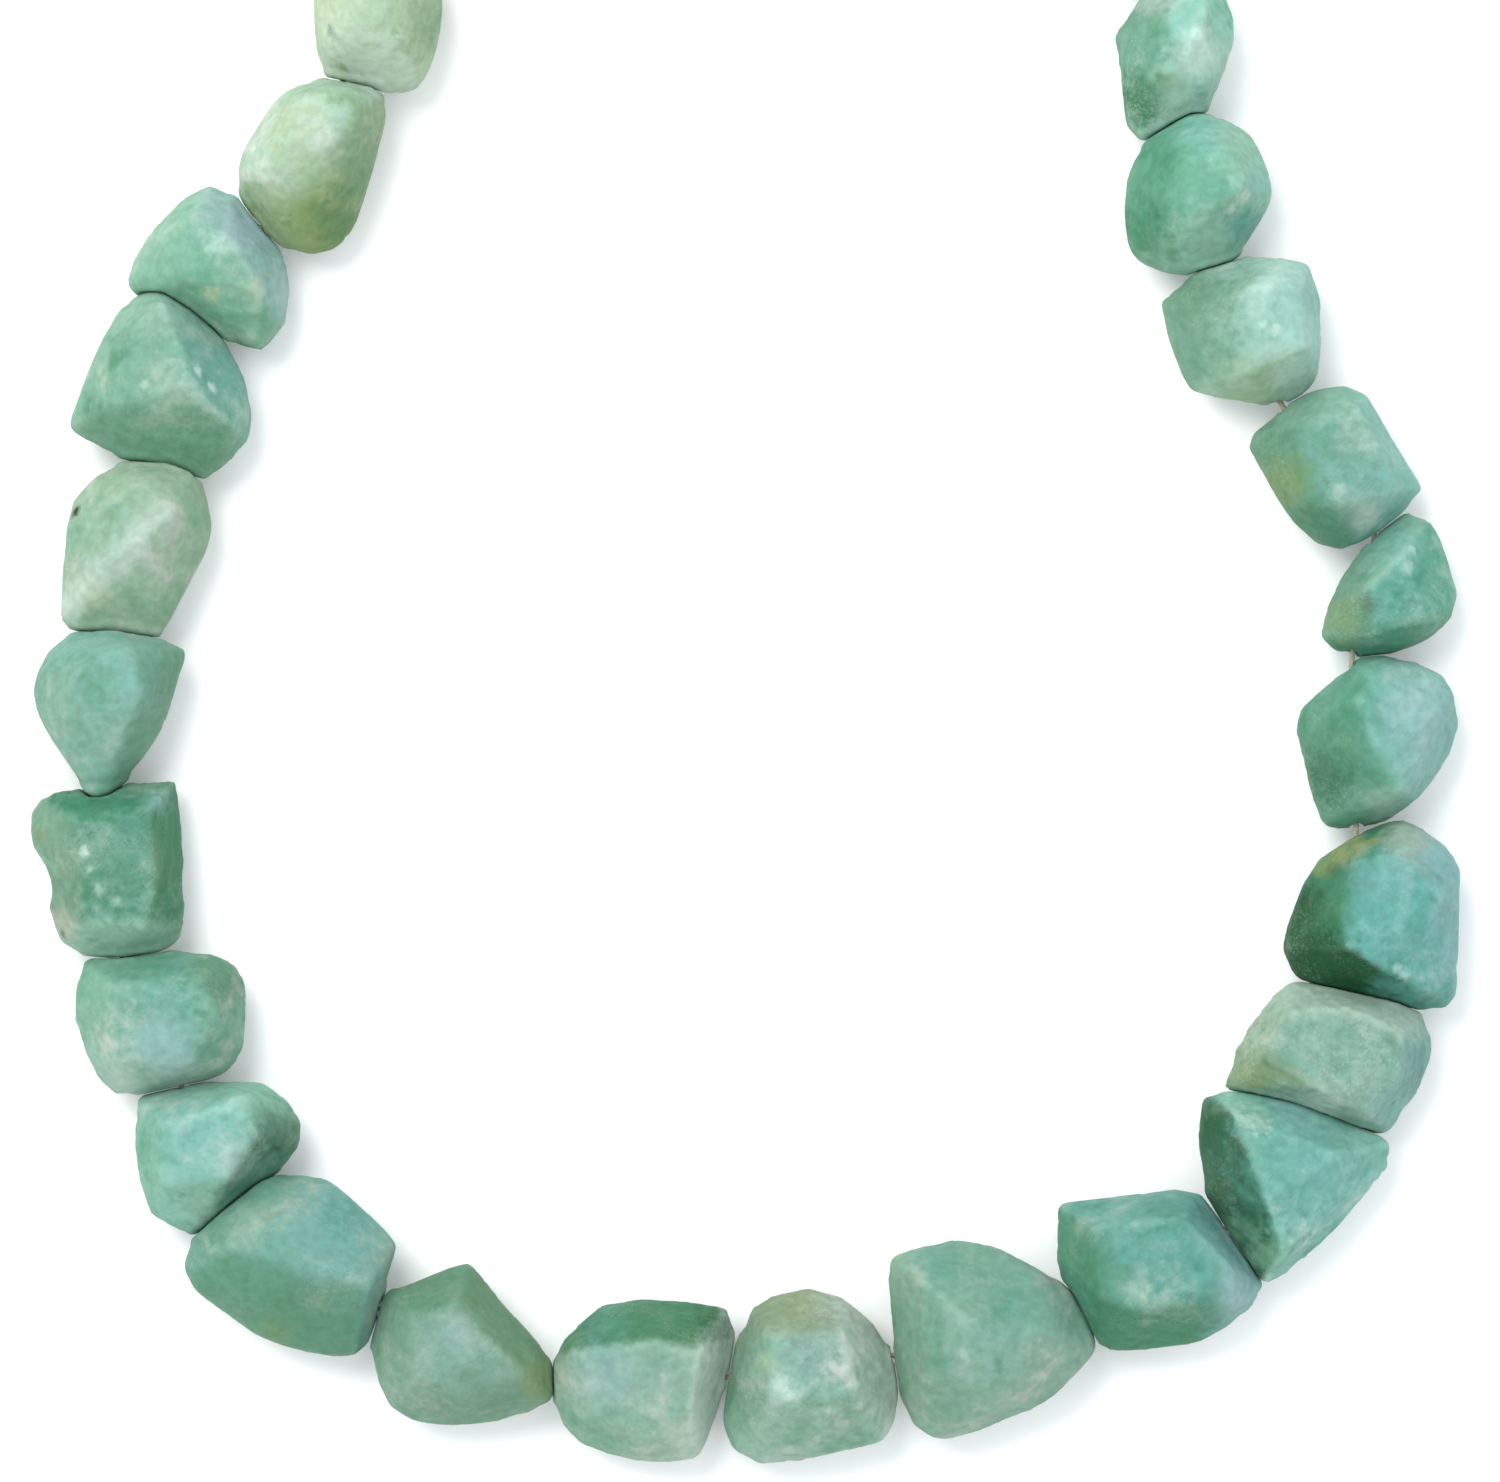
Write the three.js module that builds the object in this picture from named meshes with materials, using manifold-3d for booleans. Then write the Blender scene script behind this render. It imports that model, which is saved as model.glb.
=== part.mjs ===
// A strand of rough amazonite: thirty drilled nuggets on one loop of thread, lying flat.
// Millimetres, +Z up, the origin on the surface below the middle of the loop.

import * as THREE from "three";
import { ConvexGeometry } from "three/addons/geometries/ConvexGeometry.js";
import { mergeVertices } from "three/addons/utils/BufferGeometryUtils.js";
import Module from "manifold-3d";

// Driving dimensions
const laidWidth = 119.3; // across the loop, over the stones
const threadDiameter = 0.5;
const threadHeight = 4.7; // of the thread's middle above the surface
const boreDiameter = 1.2;
const bendSetback = 0.6; // how far each side of a bend the thread starts to turn
const neighbourSpread = 1.07; // a stone is grown by this much before it is cut from its neighbour
const knotRadius = 0.85;
const tailLength = 5; // of each trimmed end of the thread, along the back of the loop
const tailSpread = 2.5; // how far each end turns aside
const tailDrop = 2.8; // how far its tip hangs below the knot

// The rings of corners round a stone: level is a share of its height and width of its outline.
const shoulder = { level: 0.52, width: 0.965, unevenness: 0.07, seed: 0.1 };
const girdle = { level: 0.42, width: 1, unevenness: 0.05, seed: 0.2 };
const flank = { level: 0.26, width: 0.93, unevenness: 0.06, seed: 0.3 };
const foot = { level: 0, width: 0.62, unevenness: 0.09, seed: 0.4 };
const seedStep = 31; // between the seeds of two stones
const scoopStretch = 2.2; // a chip's scoop is this much taller than it is wide
const roundSides = 8; // of the thread and of the hole drilled for it

// The plan is drawn on a fine grid, with y running down the sheet.
const planWidth = 1432;
const gridUnit = laidWidth / planWidth;

// The stones in the order of the thread: down the left side, along the front and up the right,
// with the last six across the back.
// outline: the stone seen from above. crown: the corners of its upper faces, each with its share
// of the stone's height. chips: scoops broken out of it, each as x, y and, in millimetres, its
// height above the surface and its radius. underNext: the next stone lies over this one's edge.
const stones = [
  {
    height: 12.5,
    colour: "#b9cfb4",
    outline: [
      [316, -40], [311, 0], [314, 40], [318, 72], [345, 80], [378, 88], [405, 96],
      [425, 88], [438, 50], [447, 5], [440, -32], [405, -56], [350, -58],
    ],
    crown: [
      [350, -22, 0.96], [400, -12, 1], [365, 40, 0.95], [412, 48, 0.88], [338, 45, 0.84],
    ],
  },
  {
    height: 12,
    colour: "#b3cbab",
    outline: [
      [318, 79], [298, 80], [275, 97], [262, 125], [240, 150], [233, 178], [244, 203],
      [262, 226], [284, 247], [305, 260], [335, 255], [357, 232], [378, 150], [392, 110], [380, 86],
    ],
    crown: [
      [300, 102, 0.9], [365, 97, 0.92], [352, 140, 1], [288, 142, 0.98], [262, 180, 0.84],
      [300, 218, 0.78], [338, 195, 0.82],
    ],
  },
  {
    height: 11.2,
    colour: "#8abba7",
    underNext: true,
    outline: [
      [126, 281], [134, 296], [160, 302], [240, 345], [262, 351], [285, 325], [291, 290],
      [284, 258], [262, 228], [233, 195], [210, 184], [180, 200], [152, 231], [131, 262],
    ],
    crown: [
      [165, 240, 0.86], [198, 222, 0.95], [240, 250, 0.98], [262, 292, 0.86], [190, 285, 0.9],
    ],
  },
  {
    height: 12,
    colour: "#8cbca3",
    outline: [
      [120, 306], [104, 333], [86, 374], [71, 414], [69, 429], [90, 442], [120, 457],
      [170, 458], [207, 478], [226, 465], [248, 440], [252, 412], [245, 380], [226, 346],
      [200, 316], [165, 291], [146, 293],
    ],
    crown: [
      [166, 306, 0.86], [183, 345, 0.97], [195, 388, 1], [216, 412, 0.92], [238, 428, 0.76],
      [122, 350, 0.82], [108, 410, 0.8],
    ],
  },
  {
    height: 11.5,
    colour: "#a6c6a9",
    outline: [
      [122, 461], [94, 477], [74, 500], [66, 528], [60, 590], [59, 621], [72, 629],
      [108, 624], [135, 632], [160, 636], [173, 590], [205, 553], [212, 525], [206, 490],
      [194, 472], [172, 462], [145, 461],
    ],
    crown: [
      [78, 602, 0.7], [112, 560, 0.9], [150, 540, 1], [178, 512, 0.94], [112, 500, 0.84],
      [150, 480, 0.8], [150, 602, 0.66],
    ],
  },
  {
    height: 12,
    colour: "#7fb3a0",
    outline: [
      [70, 633], [48, 647], [35, 672], [31, 692], [37, 716], [55, 745], [76, 771],
      [90, 796], [105, 799], [124, 782], [146, 755], [165, 725], [182, 672], [188, 648],
      [165, 642], [108, 625],
    ],
    crown: [
      [134, 650, 0.93], [149, 690, 1], [128, 728, 0.88], [82, 668, 0.9], [68, 712, 0.82],
      [98, 760, 0.7],
    ],
  },
  {
    height: 11,
    colour: "#68a58c",
    outline: [
      [60, 791], [40, 797], [28, 814], [29, 834], [51, 915], [60, 940], [80, 954], [120, 957],
      [160, 950], [178, 941], [183, 920], [178, 850], [178, 798], [174, 779], [158, 784],
    ],
    crown: [
      [66, 814, 0.84], [100, 826, 0.97], [156, 806, 0.92], [160, 870, 1], [152, 925, 0.9],
      [82, 925, 0.84], [84, 870, 0.92],
    ],
    chips: [[2, 888, 5.5, 4.3], [92, 784, 6, 1.2]],
  },
  {
    height: 11.5,
    colour: "#82b6a2",
    outline: [
      [84, 961], [75, 990], [73, 1020], [83, 1050], [97, 1078], [112, 1095], [135, 1094],
      [200, 1080], [228, 1071], [243, 1048], [247, 1010], [246, 985], [236, 966], [215, 955],
      [180, 951], [120, 958],
    ],
    crown: [
      [118, 984, 0.92], [205, 975, 0.94], [222, 1008, 1], [192, 1062, 0.88], [118, 1056, 0.86],
    ],
  },
  {
    height: 11,
    colour: "#87bfb3",
    outline: [
      [137, 1099], [133, 1140], [139, 1180], [150, 1216], [175, 1230], [195, 1235], [210, 1221],
      [232, 1196], [285, 1165], [300, 1145], [302, 1122], [286, 1100], [262, 1083], [230, 1082],
      [190, 1086],
    ],
    crown: [
      [246, 1095, 0.94], [262, 1134, 0.97], [234, 1178, 0.88], [168, 1120, 0.92], [164, 1182, 0.82],
      [202, 1112, 1],
    ],
  },
  {
    height: 12.5,
    colour: "#79b2a8",
    outline: [
      [192, 1240], [183, 1266], [195, 1291], [222, 1312], [255, 1334], [285, 1345], [335, 1357],
      [358, 1356], [368, 1338], [391, 1268], [398, 1244], [378, 1222], [330, 1180], [298, 1173],
      [265, 1179], [236, 1195], [214, 1219],
    ],
    crown: [
      [234, 1240, 0.88], [300, 1258, 1], [374, 1278, 0.88], [294, 1204, 0.84], [268, 1306, 0.78],
      [330, 1322, 0.74],
    ],
  },
  {
    height: 12,
    colour: "#7dac98",
    outline: [
      [386, 1292], [376, 1320], [371, 1345], [376, 1378], [390, 1408], [415, 1422], [450, 1427],
      [495, 1423], [530, 1413], [551, 1398], [551, 1365], [540, 1345], [500, 1307], [468, 1262],
      [440, 1271], [412, 1286],
    ],
    crown: [
      [414, 1308, 0.9], [458, 1298, 0.94], [500, 1342, 1], [525, 1372, 0.88], [418, 1372, 0.88],
      [468, 1396, 0.82],
    ],
  },
  {
    height: 11.6,
    colour: "#92c0ac",
    outline: [
      [562, 1343], [553, 1365], [551, 1394], [562, 1425], [580, 1444], [625, 1459], [670, 1463],
      [697, 1461], [709, 1438], [728, 1370], [734, 1332], [728, 1310], [690, 1301], [640, 1300],
      [600, 1305], [578, 1325],
    ],
    crown: [
      [575, 1346, 0.86], [655, 1335, 1], [700, 1348, 0.96], [692, 1412, 0.86], [602, 1410, 0.84],
      [640, 1434, 0.78],
    ],
  },
  {
    height: 12,
    colour: "#97bfb0",
    outline: [
      [737, 1345], [729, 1400], [723, 1425], [735, 1451], [760, 1466], [800, 1461], [884, 1441],
      [897, 1420], [896, 1385], [890, 1350], [872, 1322], [845, 1299], [808, 1288], [770, 1296],
      [750, 1310],
    ],
    crown: [
      [766, 1326, 0.93], [842, 1326, 0.97], [856, 1386, 1], [772, 1392, 0.94], [808, 1432, 0.78],
    ],
  },
  {
    height: 12.6,
    colour: "#84b6a6",
    outline: [
      [891, 1257], [887, 1280], [897, 1360], [902, 1395], [913, 1424], [932, 1438], [948, 1440],
      [1030, 1412], [1056, 1395], [1080, 1370], [1095, 1351], [1088, 1318], [1070, 1292],
      [1040, 1268], [1000, 1248], [955, 1240], [920, 1246],
    ],
    crown: [
      [916, 1268, 0.82], [960, 1312, 1], [985, 1350, 0.97], [998, 1396, 0.82], [1042, 1322, 0.88],
      [928, 1372, 0.84],
    ],
  },
  {
    height: 12,
    colour: "#70b2a4",
    outline: [
      [1059, 1204], [1055, 1262], [1082, 1300], [1094, 1340], [1112, 1352], [1150, 1350],
      [1200, 1342], [1232, 1327], [1252, 1306], [1263, 1285], [1246, 1262], [1206, 1212],
      [1198, 1193], [1175, 1190], [1130, 1196], [1090, 1200],
    ],
    crown: [
      [1090, 1224, 0.9], [1180, 1214, 0.94], [1226, 1264, 0.95], [1140, 1306, 1], [1098, 1292, 0.92],
      [1232, 1298, 0.88],
    ],
  },
  {
    height: 12.5,
    colour: "#6fb0a8",
    outline: [
      [1202, 1098], [1199, 1150], [1206, 1192], [1245, 1255], [1264, 1284], [1285, 1275],
      [1310, 1252], [1340, 1224], [1374, 1180], [1388, 1166], [1388, 1142], [1350, 1133],
      [1305, 1101], [1260, 1095], [1225, 1093],
    ],
    crown: [
      [1228, 1110, 0.86], [1250, 1165, 0.98], [1262, 1196, 1], [1280, 1248, 0.84],
      [1332, 1150, 0.88], [1330, 1200, 0.8],
    ],
  },
  {
    height: 11.4,
    colour: "#96bda9",
    underNext: true,
    outline: [
      [1226, 1088], [1236, 1055], [1253, 1023], [1270, 1001], [1294, 984], [1325, 983],
      [1360, 991], [1400, 1002], [1422, 1015], [1433, 1040], [1431, 1062], [1416, 1096],
      [1389, 1131], [1366, 1135], [1300, 1110], [1260, 1096],
    ],
    crown: [
      [1288, 1008, 0.86], [1350, 1006, 0.9], [1398, 1034, 0.92], [1392, 1076, 0.97],
      [1364, 1112, 0.86], [1304, 1082, 1], [1262, 1048, 0.88],
    ],
    chips: [[1416, 1122, 5, 1.6]],
  },
  {
    height: 12,
    colour: "#73b4a6",
    outline: [
      [1405, 821], [1390, 824], [1352, 837], [1320, 857], [1303, 884], [1288, 922], [1282, 950],
      [1293, 974], [1310, 981], [1415, 1008], [1446, 1009], [1457, 996], [1460, 915], [1460, 870],
      [1446, 846], [1424, 828],
    ],
    crown: [
      [1350, 862, 0.86], [1336, 905, 0.95], [1344, 946, 1], [1376, 966, 0.93], [1424, 992, 0.76],
      [1436, 900, 0.86], [1400, 850, 0.86],
    ],
    chips: [[1474, 966, 5, 1.8]],
  },
  {
    height: 11.6,
    colour: "#84b8a8",
    outline: [
      [1358, 660], [1342, 678], [1322, 694], [1302, 708], [1296, 730], [1306, 753], [1315, 805],
      [1325, 827], [1350, 829], [1385, 820], [1410, 808], [1432, 785], [1451, 753], [1459, 722],
      [1455, 692], [1443, 673], [1415, 662], [1380, 657],
    ],
    crown: [
      [1366, 680, 0.86], [1352, 702, 0.95], [1372, 747, 1], [1398, 790, 0.86], [1428, 716, 0.86],
      [1330, 770, 0.74],
    ],
  },
  {
    height: 10.6,
    colour: "#6fab97",
    outline: [
      [1410, 512], [1396, 522], [1362, 550], [1342, 575], [1328, 607], [1321, 636], [1335, 651],
      [1360, 655], [1400, 650], [1435, 637], [1453, 617], [1458, 594], [1449, 560], [1440, 533],
      [1428, 519],
    ],
    crown: [
      [1345, 640, 0.78], [1372, 636, 0.9], [1400, 625, 0.95], [1430, 622, 0.84], [1400, 556, 0.9],
      [1358, 590, 1],
    ],
  },
  {
    height: 11.2,
    colour: "#82b8a0",
    outline: [
      [1302, 398], [1278, 413], [1253, 434], [1249, 447], [1276, 497], [1292, 521], [1318, 545],
      [1342, 550], [1362, 540], [1398, 515], [1425, 489], [1412, 469], [1392, 443], [1375, 410],
      [1366, 394], [1345, 386], [1322, 389],
    ],
    crown: [
      [1300, 505, 0.86], [1340, 508, 0.97], [1384, 494, 0.92], [1296, 455, 0.94],
      [1308, 422, 0.9], [1354, 412, 0.92], [1374, 452, 1],
    ],
  },
  {
    height: 12,
    colour: "#a1cdb5",
    outline: [
      [1248, 257], [1200, 272], [1172, 292], [1162, 303], [1167, 335], [1182, 372], [1192, 390],
      [1225, 399], [1268, 405], [1298, 396], [1317, 379], [1322, 345], [1320, 300], [1308, 263],
      [1280, 257],
    ],
    crown: [
      [1206, 320, 0.86], [1232, 297, 0.96], [1262, 287, 0.98], [1298, 292, 0.9],
      [1300, 350, 0.92], [1240, 376, 0.88], [1256, 330, 1],
    ],
  },
  {
    height: 12,
    colour: "#7bb49a",
    outline: [
      [1190, 114], [1170, 127], [1145, 143], [1128, 170], [1123, 215], [1128, 252], [1140, 266],
      [1172, 277], [1198, 270], [1232, 262], [1252, 246], [1267, 218], [1274, 190], [1267, 158],
      [1252, 131], [1225, 117],
    ],
    crown: [
      [1172, 160, 0.92], [1220, 150, 0.92], [1242, 190, 0.96], [1192, 220, 1], [1152, 200, 0.9],
      [1160, 244, 0.8],
    ],
    chips: [[1284, 254, 10.5, 4.4]],
  },
  {
    height: 11.2,
    colour: "#9dc5ae",
    outline: [
      [1150, -2], [1115, 34], [1124, 80], [1127, 125], [1140, 140], [1168, 126], [1190, 113],
      [1207, 112], [1222, 78], [1233, 45], [1234, 15], [1222, -12], [1205, -38], [1172, -42],
      [1152, -20],
    ],
    crown: [
      [1186, 60, 0.97], [1202, 20, 1], [1162, 22, 0.94], [1150, 80, 0.86], [1206, 85, 0.82],
      [1184, -12, 0.88],
    ],
  },
  {
    height: 11.8,
    colour: "#85b9a3",
    outline: [
      [1096, -158], [1150, -168], [1188, -142], [1207, -96], [1196, -52], [1150, -28],
      [1100, -38], [1068, -78], [1064, -124],
    ],
    crown: [[1108, -128, 0.88], [1162, -124, 0.95], [1160, -74, 1], [1106, -66, 0.86]],
  },
  {
    height: 12.2,
    colour: "#7aafa0",
    outline: [
      [984, -256], [1030, -276], [1078, -254], [1101, -206], [1092, -162], [1058, -132],
      [1008, -128], [966, -152], [951, -202],
    ],
    crown: [[1000, -232, 0.9], [1056, -222, 0.92], [1046, -170, 1], [984, -182, 0.88]],
  },
  {
    height: 11,
    colour: "#9cc4b2",
    outline: [
      [822, -284], [868, -312], [926, -300], [951, -262], [948, -206], [924, -170], [872, -158],
      [824, -174], [803, -232],
    ],
    crown: [[846, -258, 0.9], [908, -270, 0.93], [912, -208, 1], [850, -196, 0.86]],
  },
  {
    height: 12,
    colour: "#6ea993",
    outline: [
      [642, -292], [692, -315], [744, -298], [777, -250], [770, -196], [736, -166], [682, -158],
      [640, -186], [627, -238],
    ],
    crown: [[668, -266, 0.86], [728, -270, 0.94], [736, -214, 0.9], [676, -198, 1]],
  },
  {
    height: 11.4,
    colour: "#8fbeb0",
    outline: [
      [504, -264], [560, -284], [614, -262], [630, -214], [618, -160], [574, -132], [522, -136],
      [490, -170], [484, -226],
    ],
    crown: [[526, -240, 0.9], [590, -240, 0.88], [590, -180, 0.94], [532, -176, 1]],
  },
  {
    height: 12,
    colour: "#a4c7ad",
    outline: [
      [402, -190], [454, -200], [494, -174], [508, -130], [492, -84], [452, -60], [410, -56],
      [376, -84], [368, -140],
    ],
    crown: [[410, -158, 0.88], [464, -160, 0.93], [466, -106, 1], [408, -96, 0.9]],
  },
];

// Where the thread passes from each stone to the next, with its height above or below the usual.
// The knot stands in for the join of the twenty-seventh and twenty-eighth.
const joins = [
  [345, 77, 0.3], [262, 228, 0], [165, 294, -0.2], [145, 458, 0.2], [100, 625, 0],
  [98, 799, 0.1], [120, 957, -0.2], [180, 1084, 0], [225, 1208, 0.2], [379, 1310, 0.3],
  [552, 1380, 0], [731, 1378, 0.1], [900, 1355, 0.3], [1085, 1301, 0.1], [1230, 1228, 0.2],
  [1304, 1100, 0], [1350, 984, -0.2], [1357, 830, 0.1], [1352, 656, 0], [1377, 530, -0.3],
  [1280, 402, 0], [1216, 268, 0.2], [1168, 127, 0], [1163, -34, -0.1], [1084, -146, 0.2],
  [951, -222, 0.1], [790, -238, 0], [630, -220, 0.1], [496, -168, 0], [404, -57, 0.2],
];
const knotJoin = 26; // the knot's place in that list
const threadColour = "#e9e2c8";

const wasm = await Module();
wasm.setup();

// A repeatable number from -1 to 1.
function uneven(seed) {
  const spun = Math.sin(seed * 12.9898) * 43758.5453;
  return 2 * (spun - Math.floor(spun)) - 1;
}

function onPlan(x, y, height = 0) {
  return new THREE.Vector3(x * gridUnit, -y * gridUnit, height);
}

function middleOf(points) {
  const sum = points.reduce((total, point) => total.add(point), new THREE.Vector3());
  return sum.divideScalar(points.length);
}

function boxMiddle(geometry) {
  geometry.computeBoundingBox();
  return geometry.boundingBox.getCenter(new THREE.Vector3());
}

function toSolid(geometry) {
  const bare = geometry.clone();
  bare.deleteAttribute("normal");
  bare.deleteAttribute("uv");
  const merged = mergeVertices(bare, 1e-4);
  return new wasm.Manifold(
    new wasm.Mesh({
      numProp: 3,
      vertProperties: merged.attributes.position.array,
      triVerts: new Uint32Array(merged.index.array),
    }),
  );
}

function toGeometry(solid) {
  const { vertProperties, triVerts } = solid.getMesh();
  const geometry = new THREE.BufferGeometry();
  geometry.setAttribute("position", new THREE.BufferAttribute(vertProperties, 3));
  geometry.setIndex(new THREE.BufferAttribute(triVerts, 1));
  geometry.computeVertexNormals();
  return geometry;
}

// The unbroken stone: shoulder, girdle and flank round its side, a flat foot on the surface and
// the crown's corners on top.
function roughGeometry({ height, outline, crown }, seed) {
  const rim = outline.map(([x, y]) => onPlan(x, y));
  const middle = middleOf(rim);
  const corners = [shoulder, girdle, flank, foot].flatMap((ring) =>
    rim.map((point, k) => {
      const stray = ring.unevenness * uneven(seed + ring.seed + k);
      const placed = middle.clone().lerp(point, ring === foot ? ring.width + stray : ring.width);
      placed.z = ring === foot ? 0 : height * (ring.level + stray);
      return placed;
    }),
  );
  const peaks = crown.map(([x, y, share]) => onPlan(x, y, height * share));
  return new ConvexGeometry([...corners, ...peaks]);
}

// The stone grown about its middle, to leave room between it and the neighbour it is cut from.
function grown(geometry) {
  const middle = boxMiddle(geometry);
  const matrix = new THREE.Matrix4()
    .makeTranslation(middle)
    .scale(new THREE.Vector3().setScalar(neighbourSpread))
    .multiply(new THREE.Matrix4().makeTranslation(middle.negate()));
  return toSolid(geometry.clone().applyMatrix4(matrix));
}

function scoop([x, y, height, radius]) {
  const ball = new THREE.IcosahedronGeometry(radius, 2).scale(1, 1, scoopStretch);
  return toSolid(ball.translate(...onPlan(x, y, height)));
}

// A run of straight stretches that puts one step on each of its points.
class ThreadRoute extends THREE.Curve {
  constructor(points) {
    super();
    this.points = points;
  }

  getPoint(t) {
    const place = t * (this.points.length - 1);
    const before = Math.min(Math.floor(place), this.points.length - 2);
    return this.points[before].clone().lerp(this.points[before + 1], place - before);
  }

  getUtoTmapping(u) {
    return u;
  }
}

function roundSection(diameter) {
  const corners = Array.from({ length: roundSides }, (_, k) => {
    const turn = (2 * Math.PI * k) / roundSides;
    return new THREE.Vector2(Math.cos(turn), Math.sin(turn)).multiplyScalar(diameter / 2);
  });
  return new THREE.Shape(corners);
}

function alongRoute(points, diameter) {
  return new THREE.ExtrudeGeometry(roundSection(diameter), {
    steps: points.length - 1,
    extrudePath: new ThreadRoute(points),
    bevelEnabled: false,
  });
}

// Where a join lies, at the thread's height there.
function joinPoint([x, y, lift]) {
  return onPlan(x, y, threadHeight + lift);
}

// From the knot round the loop and back to it, straight through each stone and bent between two.
function threadPoints() {
  const turned = [...joins.slice(knotJoin), ...joins.slice(0, knotJoin + 1)];
  const bends = turned.map(joinPoint);
  const towards = (from, to) =>
    from.clone().add(to.clone().sub(from).setLength(bendSetback));
  return bends.flatMap((bend, k) => {
    if (k === 0) return [towards(bend, bends[1])];
    if (k === bends.length - 1) return [towards(bend, bends[k - 1])];
    return [towards(bend, bends[k - 1]), towards(bend, bends[k + 1])];
  });
}

// A trimmed end of the thread, sagging away from the knot to one side.
function tail(start, side) {
  return [0, 0.35, 0.7, 1].map((share) => {
    const reach = new THREE.Vector3(side * tailSpread, tailLength, -tailDrop * share);
    return start.clone().addScaledVector(reach, share);
  });
}

function threadGeometry(points) {
  const middle = joinPoint(joins[knotJoin]);
  const knot = new THREE.IcosahedronGeometry(knotRadius, 1).translate(...middle);
  const pieces = [
    alongRoute(points, threadDiameter),
    knot,
    alongRoute(tail(middle, 1), threadDiameter),
    alongRoute(tail(middle, -1), threadDiameter),
  ];
  return toGeometry(pieces.map(toSolid).reduce((joined, piece) => joined.add(piece)));
}

// A stone gives way to the one before it on the thread, or to the one after where it lies under.
function stoneSolid(index, roughs, bore) {
  const count = stones.length;
  const stone = stones[index];
  const before = (index + count - 1) % count;
  const after = (index + 1) % count;
  const cutters = (stone.chips ?? []).map(scoop);
  if (!stones[before].underNext) cutters.push(grown(roughs[before]));
  if (stone.underNext) cutters.push(grown(roughs[after]));
  cutters.push(bore);
  return cutters.reduce((solid, cutter) => solid.subtract(cutter), toSolid(roughs[index]));
}

function stoneMesh(index, roughs, bore) {
  const geometry = toGeometry(stoneSolid(index, roughs, bore));
  const centre = boxMiddle(geometry);
  geometry.translate(-centre.x, -centre.y, -centre.z);
  const material = new THREE.MeshStandardMaterial({
    color: stones[index].colour,
    roughness: 0.6,
    metalness: 0,
    flatShading: true,
  });
  const mesh = new THREE.Mesh(geometry, material);
  mesh.position.copy(centre);
  mesh.name = `stone_${String(index + 1).padStart(2, "0")}`;
  return mesh;
}

const strand = new THREE.Group();
const route = threadPoints();
const bore = toSolid(alongRoute(route, boreDiameter));
const roughs = stones.map((stone, index) => roughGeometry(stone, seedStep * index));
stones.forEach((_, index) => strand.add(stoneMesh(index, roughs, bore)));

const thread = new THREE.Mesh(
  threadGeometry(route),
  new THREE.MeshStandardMaterial({ color: threadColour, roughness: 0.8, metalness: 0 }),
);
thread.name = "thread";
strand.add(thread);

// The loop is moved so that the middle of its box stands on the origin.
const box = new THREE.Box3().setFromObject(strand);
const centre = box.getCenter(new THREE.Vector3());
strand.position.set(-centre.x, -centre.y, 0);

const laidStrand = new THREE.Group();
laidStrand.add(strand);
export default laidStrand;
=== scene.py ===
import math

import bmesh
import bpy
import numpy as np
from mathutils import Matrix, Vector, noise
from mathutils.bvhtree import BVHTree


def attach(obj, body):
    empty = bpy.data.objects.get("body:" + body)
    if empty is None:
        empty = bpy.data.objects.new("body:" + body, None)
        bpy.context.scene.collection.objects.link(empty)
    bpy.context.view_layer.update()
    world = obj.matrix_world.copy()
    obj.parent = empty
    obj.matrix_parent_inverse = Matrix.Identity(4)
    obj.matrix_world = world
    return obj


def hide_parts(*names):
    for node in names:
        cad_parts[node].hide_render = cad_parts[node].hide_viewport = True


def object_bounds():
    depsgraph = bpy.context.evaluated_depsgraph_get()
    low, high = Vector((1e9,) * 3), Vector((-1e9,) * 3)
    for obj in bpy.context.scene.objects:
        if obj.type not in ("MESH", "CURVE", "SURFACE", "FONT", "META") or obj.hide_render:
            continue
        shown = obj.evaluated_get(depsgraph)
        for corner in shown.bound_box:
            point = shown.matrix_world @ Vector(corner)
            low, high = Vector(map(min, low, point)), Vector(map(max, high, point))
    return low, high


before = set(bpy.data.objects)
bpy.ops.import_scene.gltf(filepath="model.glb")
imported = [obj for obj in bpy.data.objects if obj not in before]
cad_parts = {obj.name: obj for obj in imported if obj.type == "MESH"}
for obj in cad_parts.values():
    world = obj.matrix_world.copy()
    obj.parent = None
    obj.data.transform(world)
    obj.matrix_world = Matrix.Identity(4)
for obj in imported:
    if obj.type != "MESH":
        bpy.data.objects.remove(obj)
cadBox = [list(corner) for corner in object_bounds()]
print("frame loaded:", len(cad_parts), "nodes")

mm = 0.001

# The plan of the laid strand, seen from above: x to the right and y down, on a fine grid.
plan = dict(left=28, bottom=1466, across=1432)
planUnit = (cadBox[1][0] - cadBox[0][0]) / plan["across"]


def onPlan(x, y, height=0):
    return Vector((
        cadBox[0][0] + (x - plan["left"]) * planUnit,
        cadBox[0][1] + (plan["bottom"] - y) * planUnit,
        height * mm,
    ))


# middle, across and focusHeight place the camera over the plan. clip holds shares of its distance.
view = dict(middle=(750, 741), across=1500, focusHeight=5.5, lens=190, sensor=36, clip=(0.1, 10))


def makeCamera():
    data = bpy.data.cameras.new("overheadCamera")
    data.lens = view["lens"]
    data.sensor_width = view["sensor"]
    away = view["across"] * planUnit * view["lens"] / view["sensor"]
    data.clip_start, data.clip_end = (share * away for share in view["clip"])
    camera = bpy.data.objects.new("overheadCamera", data)
    camera.location = onPlan(*view["middle"], view["focusHeight"]) + Vector((0, 0, away))
    bpy.context.scene.collection.objects.link(camera)
    bpy.context.scene.camera = camera


# A hex tone as the linear colour that a shader takes.
def linear(hexTone):
    parts = [int(hexTone[k : k + 2], 16) / 255 for k in (1, 3, 5)]
    return (*[((c + 0.055) / 1.055) ** 2.4 if c > 0.04 else c / 12.92 for c in parts], 1)


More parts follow.
